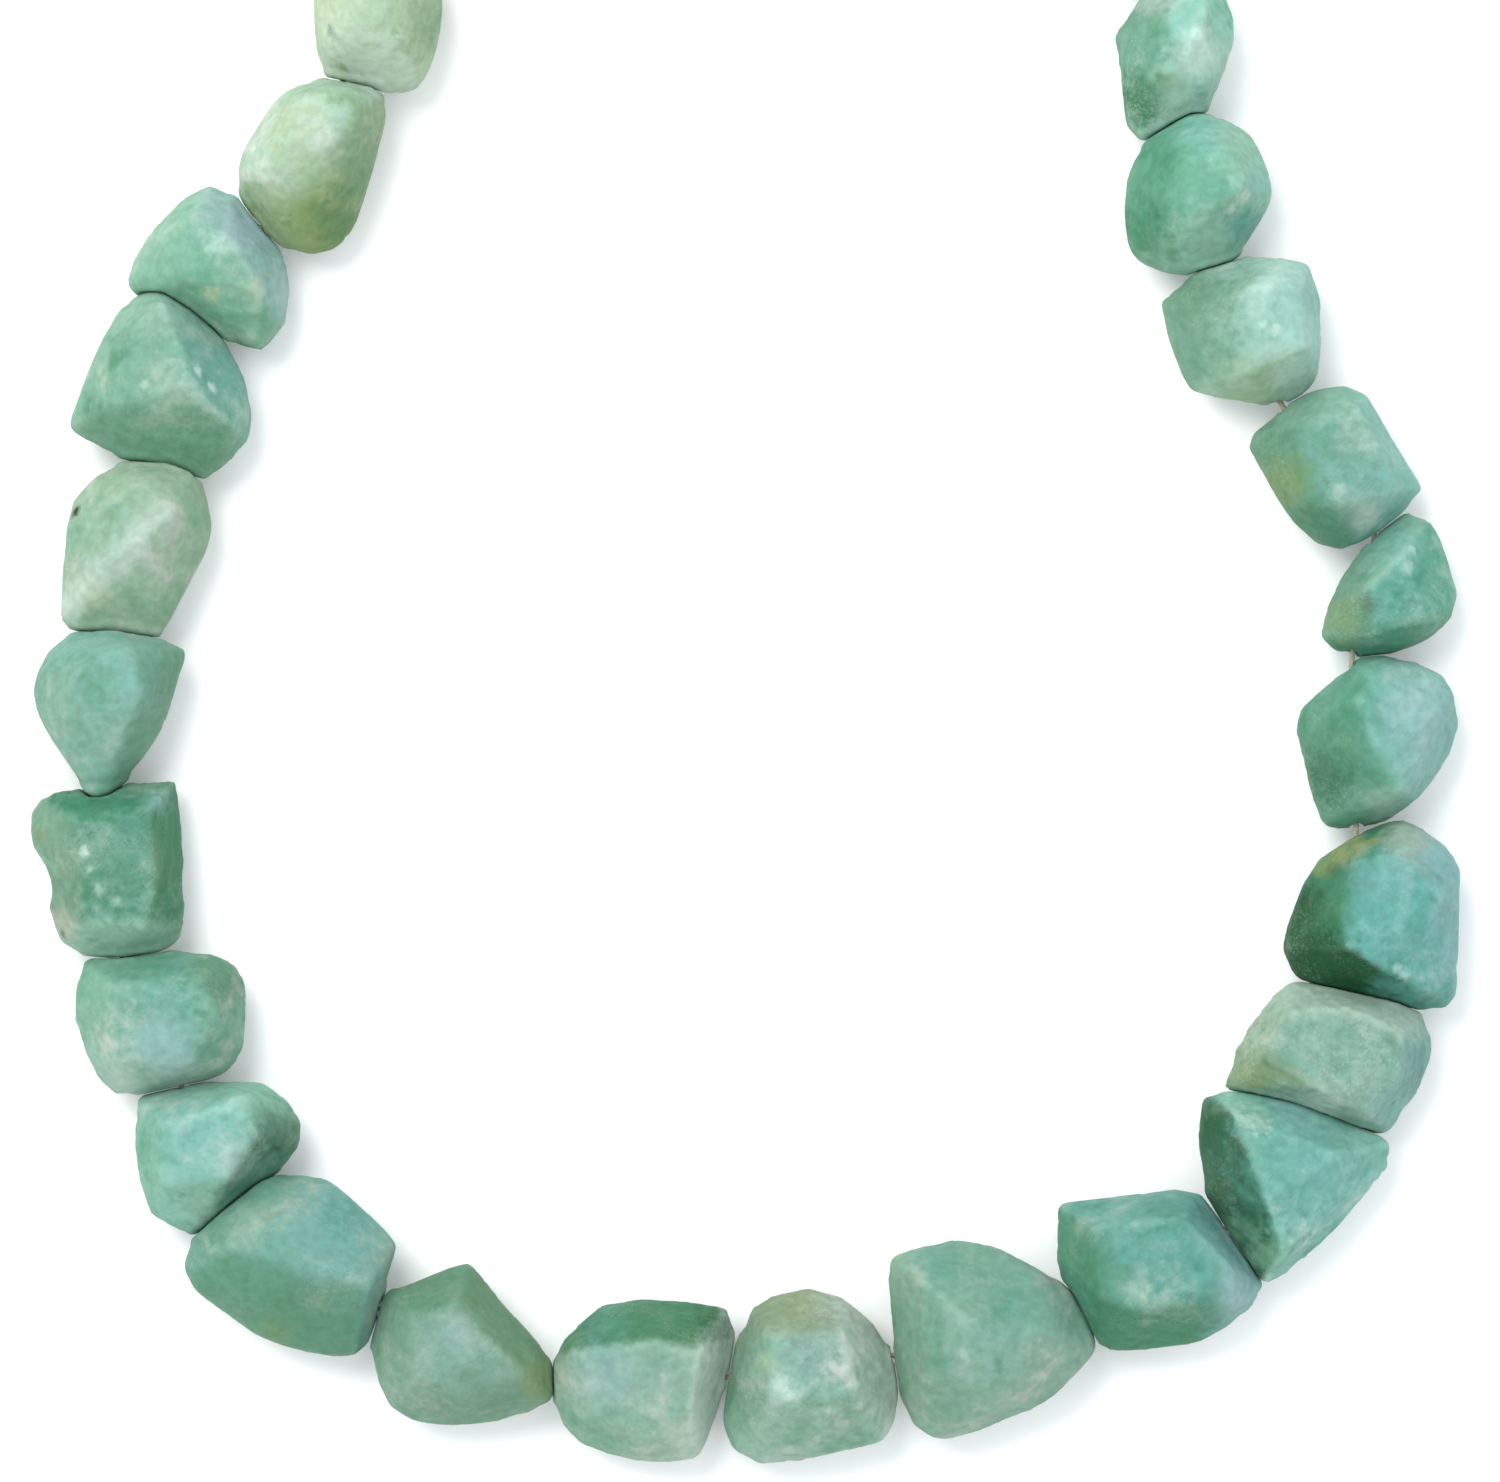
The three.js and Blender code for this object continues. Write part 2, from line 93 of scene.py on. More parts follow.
# Each input is a value, or a socket to link.
def fill(tree, node, inputs):
    for key, value in inputs.items():
        if isinstance(value, bpy.types.NodeSocket):
            tree.links.new(value, node.inputs[key])
        else:
            node.inputs[key].default_value = value


def put(tree, kind, inputs=None, **settings):
    node = tree.nodes.new("ShaderNode" + kind)
    for key, value in settings.items():
        setattr(node, key, value)
    fill(tree, node, inputs or {})
    return node.outputs


def combine(tree, operation, first, second, clamp=False):
    return put(tree, "Math", {0: first, 1: second}, operation=operation, use_clamp=clamp)[0]


def combineVectors(tree, operation, first, second, result="Vector"):
    return put(tree, "VectorMath", {0: first, 1: second}, operation=operation)[result]


def scaled(tree, vector, factor):
    return put(tree, "VectorMath", {0: vector, "Scale": factor}, operation="SCALE")["Vector"]


def placeInMillimetres(tree):
    return scaled(tree, put(tree, "TexCoord")["Object"], 1 / mm)


def mixTone(tree, share, first, second, blend="MIX"):
    inputs = {0: share, 6: first, 7: second}  # of the node's many, the three for colours
    return put(tree, "Mix", inputs, data_type="RGBA", blend_type=blend)[2]


def ramp(tree, value, low, high, lowResult=0.0, highResult=1.0):
    return put(
        tree, "MapRange",
        {"Value": value, "From Min": low, "From Max": high,
         "To Min": lowResult, "To Max": highResult},
        interpolation_type="SMOOTHSTEP",
    )["Result"]


def speckle(tree, place, scale, detail=2.0, roughness=0.5, distortion=0.0):
    return put(
        tree, "TexNoise",
        {"Vector": place, "Scale": scale, "Detail": detail, "Roughness": roughness,
         "Distortion": distortion},
    )["Fac"]


# Tatters run from 0 to 1. Less a half, they pull an edge as far in as out.
def ragged(tree, tatters, strength):
    return combine(tree, "MULTIPLY", combine(tree, "SUBTRACT", tatters, 0.5), strength)


# Gives the group, the sockets it is given and the node that its results go to.
def newGroup(name, inputs, outputs):
    group = bpy.data.node_groups.new(name, "ShaderNodeTree")
    for socketName, (kind, value) in inputs.items():
        socket = group.interface.new_socket(
            socketName, in_out="INPUT", socket_type="NodeSocket" + kind
        )
        socket.default_value = value
    for socketName, kind in outputs.items():
        group.interface.new_socket(
            socketName, in_out="OUTPUT", socket_type="NodeSocket" + kind
        )
    return group, group.nodes.new("NodeGroupInput").outputs, group.nodes.new("NodeGroupOutput")


# place is where the light stands, in metres from the middle of the loop
studio = dict(
    sky=(0.97, 1.0, 1.03),
    skyStrength=1.23,
    key=dict(place=(-0.26, 0.30, 0.72), size=0.45, power=4.2, colour=(1.0, 1.0, 0.98)),
    floorTone=(0.96, 0.96, 0.96),
    floorBounce=(0.74, 0.74, 0.68),  # what the floor sends back up at the stones
    floorRoughness=0.9,
    floorGloss=0.1,
    floorAcross=6,
    floorDrop=0.05,  # in millimetres, so that no stone's foot lies in the floor itself
)


def makeLight(name, light):
    data = bpy.data.lights.new(name, "AREA")
    data.shape = "DISK"
    data.size = light["size"]
    data.energy = light["power"]
    data.color = light["colour"]
    lamp = bpy.data.objects.new(name, data)
    lamp.location = light["place"]
    lamp.rotation_euler = (-lamp.location).to_track_quat("-Z", "Y").to_euler()
    bpy.context.scene.collection.objects.link(lamp)


def makeSky():
    world = bpy.data.worlds.new("paleRoom")
    world.use_nodes = True
    background = world.node_tree.nodes["Background"]
    background.inputs["Color"].default_value = (*studio["sky"], 1)
    background.inputs["Strength"].default_value = studio["skyStrength"]
    bpy.context.scene.world = world


def makeFloor():
    half, drop = studio["floorAcross"] / 2, -studio["floorDrop"] * mm
    corners = [(-half, -half, drop), (half, -half, drop), (half, half, drop), (-half, half, drop)]
    mesh = bpy.data.meshes.new("paleFloor")
    mesh.from_pydata(corners, [], [(0, 1, 2, 3)])
    floor = bpy.data.objects.new("paleFloor", mesh)
    bpy.context.scene.collection.objects.link(floor)
    paper = bpy.data.materials.new("palePaper")
    paper.use_nodes = True
    tree = paper.node_tree
    seen = put(tree, "LightPath")["Is Camera Ray"]
    bounce, tone = ((*studio[key], 1) for key in ("floorBounce", "floorTone"))
    fill(tree, tree.nodes["Principled BSDF"], {
        "Base Color": mixTone(tree, seen, bounce, tone),
        "Roughness": studio["floorRoughness"],
        "Specular IOR Level": studio["floorGloss"],
    })
    mesh.materials.append(paper)


makeCamera()
makeSky()
makeLight("keyLight", studio["key"])
makeFloor()
bpy.context.scene.view_settings.view_transform = "Standard"
bpy.context.scene.view_settings.look = "None"
print("camera, light and floor in place")


# In the looks below, a scale is features to a millimetre. A pair of values is where a field
# starts to count and where it counts in full, and two more are what it then gives.
groundLook = dict(
    cloudScale=0.2, tatterScale=0.8, crumbScale=2.0, raggedness=0.55, body=(0.2, 0.5),
    pale=(0.5, 0.8),
)


def makeGroundGroup():
    # The clouded body of the stone: deep, middle and pale green running into each other.
    group, given, result = newGroup(
        "amazoniteGround",
        {"Place": ("Vector", (0, 0, 0)), "Deep": ("Color", (0.05, 0.3, 0.2, 1)),
         "Body": ("Color", (0.2, 0.5, 0.4, 1)), "Pale": ("Color", (0.5, 0.7, 0.6, 1))},
        {"Color": "Color", "Clouds": "Float", "Tatters": "Float", "Crumbs": "Float"},
    )
    clouds = speckle(group, given["Place"], groundLook["cloudScale"], 2, 0.5, 0.5)
    tatters = speckle(group, given["Place"], groundLook["tatterScale"], 3, 0.6)
    crumbs = speckle(group, given["Place"], groundLook["crumbScale"], 2, 0.65)
    torn = combine(group, "ADD", clouds, ragged(group, tatters, groundLook["raggedness"]))
    lower = mixTone(group, ramp(group, torn, *groundLook["body"]), given["Deep"], given["Body"])
    upper = mixTone(group, ramp(group, torn, *groundLook["pale"]), lower, given["Pale"])
    fill(group, result, {"Color": upper, "Clouds": clouds, "Tatters": tatters, "Crumbs": crumbs})
    return group


streakLook = dict(scale=0.8, stretch=(0.45, 1.0, 1.0), wisps=(0.46, 0.78), clouds=(0.36, 0.6))


def makeStreakGroup():
    # Milky wisps that all run one way through the paler clouds of the stone.
    group, given, result = newGroup(
        "milkStreaks",
        {"Color": ("Color", (0, 0, 0, 1)), "Place": ("Vector", (0, 0, 0)),
         "Turn": ("Vector", (0, 0, 0)), "Milk": ("Color", (0.8, 0.9, 0.85, 1)),
         "Amount": ("Float", 0.4), "Clouds": ("Float", 0.5)},
        {"Color": "Color"},
    )
    turned = put(
        group, "Mapping",
        {"Vector": given["Place"], "Rotation": given["Turn"], "Scale": streakLook["stretch"]},
    )["Vector"]
    wisps = ramp(group, speckle(group, turned, streakLook["scale"], 2, 0.55), *streakLook["wisps"])
    cloudy = ramp(group, given["Clouds"], *streakLook["clouds"])
    streaks = combine(group, "MULTIPLY", wisps, cloudy)
    share = combine(group, "MULTIPLY", streaks, given["Amount"], True)
    fill(group, result, {"Color": mixTone(group, share, given["Color"], given["Milk"])})
    return group


patchLook = dict(
    raggedness=1.6,
    fade=(1.15, 0.2),  # as shares of the radius
    spread=1.25,  # of every patch past the radius it is given
    fleckUnder=1,  # radius under which a patch is a fleck or a pit on the surface
    fleckSearch=0.3,  # how far round its spot the top of the stone is looked for
    squash=0.25,  # a broader patch is drawn out down the sides, round this height
    height=7,
)


def makePatchGroup():
    # One soft-edged patch of another tone, with a tattered rim.
    group, given, result = newGroup(
        "tintPatch",
        {"Color": ("Color", (0, 0, 0, 1)), "Place": ("Vector", (0, 0, 0)),
         "Middle": ("Vector", (0, 0, 0)), "Radius": ("Float", 2.0),
         "Stretch": ("Vector", (1, 1, 1)), "Tone": ("Color", (1, 1, 1, 1)),
         "Amount": ("Float", 0.5), "Tatters": ("Float", 0.5)},
        {"Color": "Color"},
    )
    stretched = combineVectors(group, "MULTIPLY", given["Place"], given["Stretch"])
    away = combineVectors(group, "DISTANCE", stretched, given["Middle"], "Value")
    torn = ragged(group, given["Tatters"], patchLook["raggedness"])
    share = combine(group, "ADD", combine(group, "DIVIDE", away, given["Radius"]), torn)
    mask = combine(group, "MULTIPLY", ramp(group, share, *patchLook["fade"]), given["Amount"])
    fill(group, result, {"Color": mixTone(group, mask, given["Color"], given["Tone"])})
    return group


# Low and High are cosines: how nearly a face looks that way where a tint starts and is full.
facingLook = dict(
    raggedness=0.7,
    # steep paints shade on the steep flanks, and flat paints the sky's light on faces that lie flat.
    steep=dict(Way=(0, 0, -1), Low=-0.6, High=0.05),
    flat=dict(Way=(0, 0, 1), Low=0.78, High=1.02),
    sideways=dict(Low=0.1, High=0.68),
)


def makeFacingGroup():
    # Another tone on the faces that look one way: partly the tone of a broken side, partly painted
    # shade on faces turned from the light and painted light on faces turned to it.
    group, given, result = newGroup(
        "facingTint",
        {"Color": ("Color", (0, 0, 0, 1)), "Facing": ("Vector", (0, 0, 1)),
         "Way": ("Vector", (1, 0, 0)), "Low": ("Float", 0.2), "High": ("Float", 0.5),
         "Tone": ("Color", (1, 1, 1, 1)), "Amount": ("Float", 0.5),
         "Tatters": ("Float", 0.5)},
        {"Color": "Color"},
    )
    toward = combineVectors(group, "DOT_PRODUCT", given["Facing"], given["Way"], "Value")
    torn = combine(
        group, "ADD", toward, ragged(group, given["Tatters"], facingLook["raggedness"])
    )
    mask = ramp(group, torn, given["Low"], given["High"])
    mask = combine(group, "MULTIPLY", mask, given["Amount"])
    fill(group, result, {"Color": mixTone(group, mask, given["Color"], given["Tone"])})
    return group


skinLook = dict(
    grainScale=3.6,
    frosted=(0.45, 0.77),  # of the grain
    crumbScale=2.6,
    crumbSize=(0.3, 0.05),
    glinting=(0.7, 0.85),  # of the crumbs, so that few of them glint
    clouds=(0.36, 0.62),
    mottleScale=1.3,
    mottle=(0.3, 0.7, 0.92, 1.08),
    hollowShade=0.55,
    roughness=(0.25, 0.75, 0.5, 0.72),  # by the grain
    glintGloss=0.5,
)


def makeSkinGroup():
    # The frosted, sugary skin of a broken face: its grain, its glints and its roughness. Its crumbs
    # are whitened as white grains and as painted glints, its ridges as wear and as a painted
    # highlight, and its hollows are darkened as painted shade.
    group, given, result = newGroup(
        "frostedSkin",
        {"Color": ("Color", (0, 0, 0, 1)), "Place": ("Vector", (0, 0, 0)),
         "Frost": ("Color", (0.85, 0.93, 0.88, 1)), "Sugar": ("Float", 0.3),
         "Wear": ("Float", 0.3), "Clouds": ("Float", 0.5)},
        {"Color": "Color", "Roughness": "Float", "Height": "Float"},
    )
    ridge = put(group, "Attribute", attribute_name="ridge")["Fac"]
    hollow = put(group, "Attribute", attribute_name="hollow")["Fac"]
    grain = speckle(group, given["Place"], skinLook["grainScale"], 2, 0.7)
    crumbs = put(
        group, "TexVoronoi",
        {"Vector": given["Place"], "Scale": skinLook["crumbScale"], "Randomness": 1.0},
        feature="F1",
    )
    crumb = ramp(group, crumbs["Distance"], *skinLook["crumbSize"])
    odd = put(group, "SeparateColor", {"Color": crumbs["Color"]})["Red"]
    crumb = combine(group, "MULTIPLY", crumb, ramp(group, odd, *skinLook["glinting"]))
    cloudy = ramp(group, given["Clouds"], *skinLook["clouds"])
    sugar = combine(group, "MULTIPLY", cloudy, given["Sugar"])
    # The glinting crumbs are whitened: white grains, and a painted glint.
    glints = combine(group, "MULTIPLY", crumb, sugar)
    frosting = combine(group, "MULTIPLY", ramp(group, grain, *skinLook["frosted"]), sugar)
    # Ridges whitened: wear on them, and a painted highlight.
    wornAndLitRidgeShare = combine(group, "MULTIPLY", ridge, given["Wear"])
    white = combine(group, "ADD", combine(group, "ADD", glints, frosting), wornAndLitRidgeShare, True)
    mottle = speckle(group, given["Place"], skinLook["mottleScale"], 2, 0.5)
    body = scaled(group, given["Color"], ramp(group, mottle, *skinLook["mottle"]))
    tone = mixTone(group, white, body, given["Frost"])
    shaded = combine(group, "MULTIPLY", hollow, skinLook["hollowShade"])
    rough = ramp(group, grain, *skinLook["roughness"])
    smoother = combine(group, "MULTIPLY", glints, skinLook["glintGloss"])
    fill(group, result, {
        "Color": mixTone(group, shaded, tone, given["Color"], "MULTIPLY"),
        "Roughness": combine(group, "SUBTRACT", rough, smoother),
        "Height": grain,
    })
    return group


groups = dict(
    ground=makeGroundGroup(), streaks=makeStreakGroup(), patch=makePatchGroup(),
    facing=makeFacingGroup(), skin=makeSkinGroup(),
)
print("shader groups built")


tones = dict(
    milk="#a2b2a7", cream="#a6ae8a", mint="#7ea28f", seaGreen="#66927a", green="#4e7a5e",
    teal="#4a867a", blue="#6e9b9b", lilac="#8aa3ab", deep="#2e6845", bottle="#0b4523",
    olive="#6c8048", khaki="#7b8248", brown="#4f4530", pinkish="#9e9e8f", slate="#567672",
    frost="#cfe0d6", aqua="#6fa59b", pit="#28261a",
)

# Painted shade and light on every stone: steep flanks are painted deeper, as if in shade, and
# faces that lie flat a little bluer, as if lit by the sky.
paintedShadeAndSkyLight = [("steep", "deep", 0.18), ("flat", "blue", 0.2)]

# What the stones share. A seed moves a stone's clouds and breaks along the drift.
finish = dict(
    drift=(7.3, 3.1, 5.7),
    milk=0.36,  # of the milk that a stone is given
    wornAndLitRidges=0.18,  # frost on its ridges: wear, and a painted highlight
    bump=0.35,
    bumpHeight=0.05,
    ior=1.53,
    gloss=0.18,
    glow=0.5,  # share of the light that passes under the surface
    glowTint=(0.6, 1.0, 0.85),  # how far each colour goes, as shares of the depth
    glowDepth=1.3,
    sheen=0.02,
    sheenRoughness=0.5,
)

# deep, body and pale are the tones of the ground. milk is the strength of the streaks, and turn
# their way, in degrees. sugar is how frosted the skin is, and rugged how rough the break. sides
# are (azimuth in degrees, tone, amount), for the faces that look that way: partly the tone of a
# broken side, partly painted shade on faces turned from the light and painted light on faces
# turned to it. patches are (x and y on the plan, radius in millimetres, tone, amount): marks of
# the stone's own colour, and also painted shade in some shaded corners and painted highlights in
# some small pale flecks and lines.
stones = dict(
    stone_01=dict(
        slot="pale_amazonite", deep="#8da584", body="#9cb091", pale="#abb89d", seed=1.2,
        milk=0.25, turn=(20, 0, 40), sugar=0.12, rugged=0.35, softness=170,
        # The milk on faces turned down is painted light, lifting a flank that lies in shade.
        sides=[(-105, "milk", 0.5)],
        patches=[(330, 35, 0.7, "slate", 0.5), (343, 72, 0.6, "olive", 0.6),
                 (425, 20, 3.0, "green", 0.35), (365, 84, 1.4, "milk", 0.6)],
    ),
    stone_02=dict(
        slot="pale_amazonite", deep="#769575", body="#94af99", pale="#b7bfb6", seed=2.4,
        milk=0.3, turn=(0, 10, 100), sugar=0.1, rugged=0.3, softness=201,
        sides=[(-40, "olive", 0.5), (-100, "olive", 0.6)],
        # The deep patch at 342, 226 is painted shade, cast by a neighbouring strand.
        patches=[(300, 138, 3.0, "cream", 0.45), (330, 225, 4.2, "olive", 0.6),
                 (372, 170, 3.6, "green", 0.5), (342, 226, 2.4, "deep", 0.5)],
    ),
    stone_03=dict(
        slot="sea_green_amazonite", deep="#598e73", body="#6e9c84", pale="#92ae99", seed=3.1,
        milk=0.35, turn=(0, 0, 120), sugar=0.3, rugged=0.6,
        sides=[(40, "lilac", 0.5), (-90, "green", 0.35)],
        patches=[(165, 262, 2.2, "mint", 0.45), (215, 300, 0.8, "cream", 0.5),
                 (265, 290, 0.9, "cream", 0.4), (213, 234, 1.3, "teal", 0.4),
                 (246, 228, 2.0, "lilac", 0.7), (213, 248, 0.9, "frost", 0.19),
                 (203, 240, 0.5, "frost", 0.17)],
    ),
    stone_04=dict(
        slot="sea_green_amazonite", deep="#43785d", body="#669179", pale="#93a593", seed=4.7,
        milk=0.12, turn=(10, 0, 75), sugar=0.22, rugged=0.4,
        sides=[(15, "blue", 0.35), (-100, "green", 0.45), (110, "mint", 0.4)],
        patches=[(160, 385, 2.6, "seaGreen", 0.5), (165, 328, 1.8, "milk", 0.3),
                 (226, 378, 3.0, "teal", 0.5), (203, 453, 3.2, "green", 0.5),
                 (205, 372, 0.5, "frost", 0.38), (218, 388, 0.55, "frost", 0.42),
                 (148, 388, 0.4, "frost", 0.21)],
    ),
    stone_05=dict(
        slot="milky_amazonite", deep="#678c71", body="#819c84", pale="#a5aba0", seed=5.5,
        milk=0.3, turn=(0, 0, 35), sugar=0.15, rugged=0.35, softness=15,
        sides=[(-30, "green", 0.15)],
        # The milk patches in a line from 70, 606 to 166, 521 are a painted highlight along a ridge.
        patches=[(70, 606, 1.5, "milk", 0.9), (86, 590, 1.5, "milk", 0.9),
                 (102, 575, 1.6, "milk", 0.95), (119, 561, 1.6, "milk", 1),
                 (136, 548, 1.5, "milk", 0.95), (152, 534, 1.4, "milk", 0.8),
                 (166, 521, 1.3, "milk", 0.7), (95, 596, 1.6, "cream", 0.35),
                 (82, 575, 1.2, "pinkish", 0.3), (90, 545, 3.2, "seaGreen", 0.4),
                 (149, 616, 1.8, "green", 0.4),
                 (74, 508, 0.55, "pit", 1.0)],
    ),
    stone_06=dict(
        slot="sea_green_amazonite", deep="#5b8c76", body="#6e9584", pale="#8aa092", seed=6.3,
        milk=0.15, turn=(0, 0, 95), sugar=0.15, rugged=0.35, softness=46,
        sides=[(0, "green", 0.6), (90, "blue", 0.25)],
        patches=[(142, 685, 2.2, "blue", 0.4), (62, 690, 3.2, "green", 0.25),
                 (170, 674, 2.4, "green", 0.55)],
    ),
    stone_07=dict(
        slot="teal_amazonite", deep="#26674b", body="#3b765c", pale="#688b73", seed=7.9,
        milk=0.5, turn=(0, 0, 50), sugar=0.25, rugged=0.8, softness=8,
        sides=[(4, "deep", 0.6), (-165, "pinkish", 0.25), (-90, "mint", 0.8)],
        patches=[(110, 868, 4.2, "green", 0.4), (48, 830, 2.2, "seaGreen", 0.3),
                 (40, 838, 0.8, "khaki", 0.35), (158, 802, 1.2, "blue", 0.5),
                 (64, 925, 1.4, "pinkish", 0.5), (60, 934, 0.5, "brown", 0.8),
                 (174, 880, 1.4, "deep", 0.6), (86, 850, 0.45, "frost", 0.34),
                 (102, 892, 0.5, "frost", 0.29), (122, 905, 0.4, "frost", 0.25),
                 (94, 872, 0.3, "frost", 0.25)],
    ),
    stone_08=dict(
        slot="sea_green_amazonite", deep="#50836a", body="#66937f", pale="#9ea69a", seed=8.2,
        milk=0.5, turn=(0, 0, 5), sugar=0.25, rugged=0.5, softness=15,
        sides=[(0, "green", 0.1), (-111, "milk", 0.25)],
        # The deep patch at 220, 980 is painted shade on a corner of the stone.
        patches=[(172, 988, 2.8, "teal", 0.45), (100, 1008, 2.6, "seaGreen", 0.8),
                 (170, 1045, 2.6, "lilac", 0.45), (128, 1080, 1.5, "milk", 0.5),
                 (150, 1085, 2.0, "green", 0.25), (220, 980, 2.6, "deep", 0.6)],
    ),
    stone_09=dict(
        slot="sea_green_amazonite", deep="#4f8a71", body="#71a394", pale="#a2bab0", seed=9.6,
        milk=0.35, turn=(0, 0, 60), sugar=0.2, rugged=0.5, softness=15,
        # The bottle on faces turned to the lower right, and the bottle patch at 282, 1132, are
        # painted shade on the side away from the light.
        sides=[(-35, "bottle", 0.65), (180, "green", 0.3), (40, "mint", 0.4)],
        patches=[(190, 1130, 3.2, "blue", 0.25), (150, 1180, 2.6, "mint", 0.3),
                 (282, 1132, 2.2, "bottle", 0.55), (203, 1198, 2.2, "mint", 0.7)],
    ),
    stone_10=dict(
        slot="teal_amazonite", deep="#4c7d62", body="#578573", pale="#879785", seed=10.1,
        milk=0.45, turn=(0, 0, 20), sugar=0.22, rugged=0.45, softness=19,
        sides=[(0, "blue", 0.3), (-105, "green", 0.7)],
        patches=[(330, 1225, 4.4, "blue", 0.5), (250, 1225, 2.0, "milk", 0.35),
                 (290, 1315, 4.2, "green", 0.45), (275, 1330, 1.2, "olive", 0.3),
                 (350, 1216, 2.2, "teal", 0.7)],
    ),
    stone_11=dict(
        slot="sea_green_amazonite", deep="#5f826d", body="#6a8b78", pale="#8c9889", seed=11.4,
        milk=0.4, turn=(0, 0, 85), sugar=0.25, rugged=0.45, softness=17,
        sides=[(0, "olive", 0.25), (-90, "green", 0.15), (90, "deep", 0.5), (150, "green", 0.3)],
        patches=[(462, 1328, 1.9, "lilac", 0.28), (541, 1378, 2.0, "olive", 0.55),
                 (460, 1415, 3.0, "green", 0.4)],
    ),
    stone_12=dict(
        slot="milky_amazonite", deep="#608872", body="#789783", pale="#9ca798", seed=12.8,
        milk=0.5, turn=(0, 0, 100), sugar=0.25, rugged=0.5, softness=17,
        # The deep on faces turned to the top of the plan and the bottle patch at 714, 1322 are
        # partly painted shade, cast by a neighbouring stone.
        sides=[(93, "deep", 0.9), (-13, "milk", 0.65)],
        patches=[(600, 1315, 2.8, "teal", 0.35), (605, 1370, 3.0, "lilac", 0.3),
                 (620, 1425, 2.6, "seaGreen", 0.3), (714, 1322, 1.8, "bottle", 0.6)],
    ),
    stone_13=dict(
        slot="milky_amazonite", deep="#6a957f", body="#87a595", pale="#bcbdb7", seed=13.3,
        milk=0.6, turn=(0, 0, 15), sugar=0.4, rugged=0.65, softness=14,
        sides=[(175, "green", 0.5), (-90, "green", 0.25), (92, "khaki", 0.6),
               (92, "slate", 0.4), (15, "milk", 0.6)],
        patches=[(815, 1350, 3.4, "slate", 0.4), (770, 1358, 1.2, "cream", 0.7),
                 (772, 1378, 1.0, "pinkish", 0.6), (800, 1300, 2.6, "khaki", 0.3),
                 (745, 1400, 2.0, "green", 0.35), (855, 1388, 3.4, "green", 0.4),
                 (800, 1420, 2.4, "green", 0.35), (778, 1377, 0.9, "frost", 0.25),
                 (788, 1392, 0.6, "frost", 0.25)],
    ),
    stone_14=dict(
        slot="sea_green_amazonite", deep="#5b8772", body="#739482", pale="#9aa398", seed=14.6,
        milk=0.3, turn=(0, 0, 140), sugar=0.15, rugged=0.35, softness=17,
        sides=[(200, "green", 0.25), (45, "teal", 0.2)],
        patches=[(1020, 1300, 3.8, "teal", 0.3), (934, 1262, 2.0, "teal", 0.5),
                 (940, 1390, 3.2, "green", 0.3), (960, 1352, 0.7, "milk", 0.4)],
    ),
    stone_15=dict(
        slot="teal_amazonite", deep="#357255", body="#4e8979", pale="#8a9f92", seed=15.2,
        milk=0.35, turn=(0, 0, 30), sugar=0.2, rugged=0.5,
        sides=[(180, "deep", 0.5), (-90, "deep", 0.6), (80, "blue", 0.25), (0, "blue", 0.5)],
        patches=[(1082, 1255, 2.2, "green", 0.45), (1112, 1272, 2.0, "green", 0.5),
                 (1122, 1320, 2.4, "deep", 0.45), (1134, 1288, 1.3, "mint", 1.0),
                 (1134, 1288, 1.1, "cream", 0.8), (1136, 1290, 1.0, "frost", 0.35),
                 (1235, 1290, 2.4, "lilac", 0.5),
                 (1180, 1330, 3.2, "deep", 0.35), (1190, 1225, 3.0, "teal", 0.3)],
    ),
    stone_16=dict(
        slot="teal_amazonite", deep="#508c6f", body="#70a596", pale="#abc1af", seed=16.9,
        milk=0.3, turn=(0, 0, 65), sugar=0.2, rugged=0.9, softness=8,
        # The bottle on faces turned left is painted shade on the side in shadow, and the seaGreen
        # patch at 1240, 1230 is painted light, lifting a spot in shade.
        sides=[(180, "bottle", 0.9), (-30, "blue", 0.35)],
        patches=[(1285, 1165, 4.6, "teal", 0.6), (1310, 1150, 4.0, "blue", 0.4),
                 (1290, 1260, 3.0, "green", 0.25), (1252, 1124, 2.0, "teal", 0.6),
                 (1292, 1114, 1.8, "blue", 0.7), (1262, 1250, 1.6, "seaGreen", 0.8),
                 (1240, 1230, 1.6, "seaGreen", 0.5)],
    ),
    stone_17=dict(
        slot="milky_amazonite", deep="#57816b", body="#648b77", pale="#789583", seed=17.4,
        milk=0.5, turn=(0, 0, 25), sugar=0.45, rugged=1.0, softness=7,
        sides=[(0, "blue", 0.35), (205, "khaki", 0.35), (90, "milk", 0.5), (-60, "blue", 0.35)],
        patches=[(1278, 1018, 1.6, "green", 0.2), (1250, 1076, 1.2, "khaki", 0.4),
                 (1328, 1080, 1.2, "deep", 0.3), (1318, 1102, 1.8, "milk", 0.6),
                 (1418, 1070, 2.6, "slate", 0.4)],
    ),
    stone_18=dict(
        slot="teal_amazonite", deep="#3a7867", body="#4c8f84", pale="#73a097", seed=18.1,
        milk=0.2, turn=(0, 0, 45), sugar=0.2, rugged=0.4, softness=7,
        # The deep and bottle on faces turned left and to the lower left, and the bottle patches at
        # 1298, 905 and 1293, 940, are painted shade; the frost flecks at 1396, 969 and 1404, 975 are
        # a painted highlight on the lower ridge.
        sides=[(160, "deep", 0.8), (-125, "bottle", 1.0), (0, "lilac", 0.45)],
        patches=[(1405, 838, 2.2, "pinkish", 0.5), (1298, 905, 2.7, "bottle", 1.0),
                 (1293, 940, 2.2, "bottle", 0.9), (1335, 915, 2.0, "deep", 0.5),
                 (1324, 867, 1.0, "olive", 0.8), (1340, 856, 1.0, "khaki", 0.9),
                 (1356, 846, 1.0, "khaki", 0.9), (1371, 837, 0.8, "khaki", 0.7),
                 (1396, 969, 0.5, "frost", 0.25), (1404, 975, 0.5, "frost", 0.25),
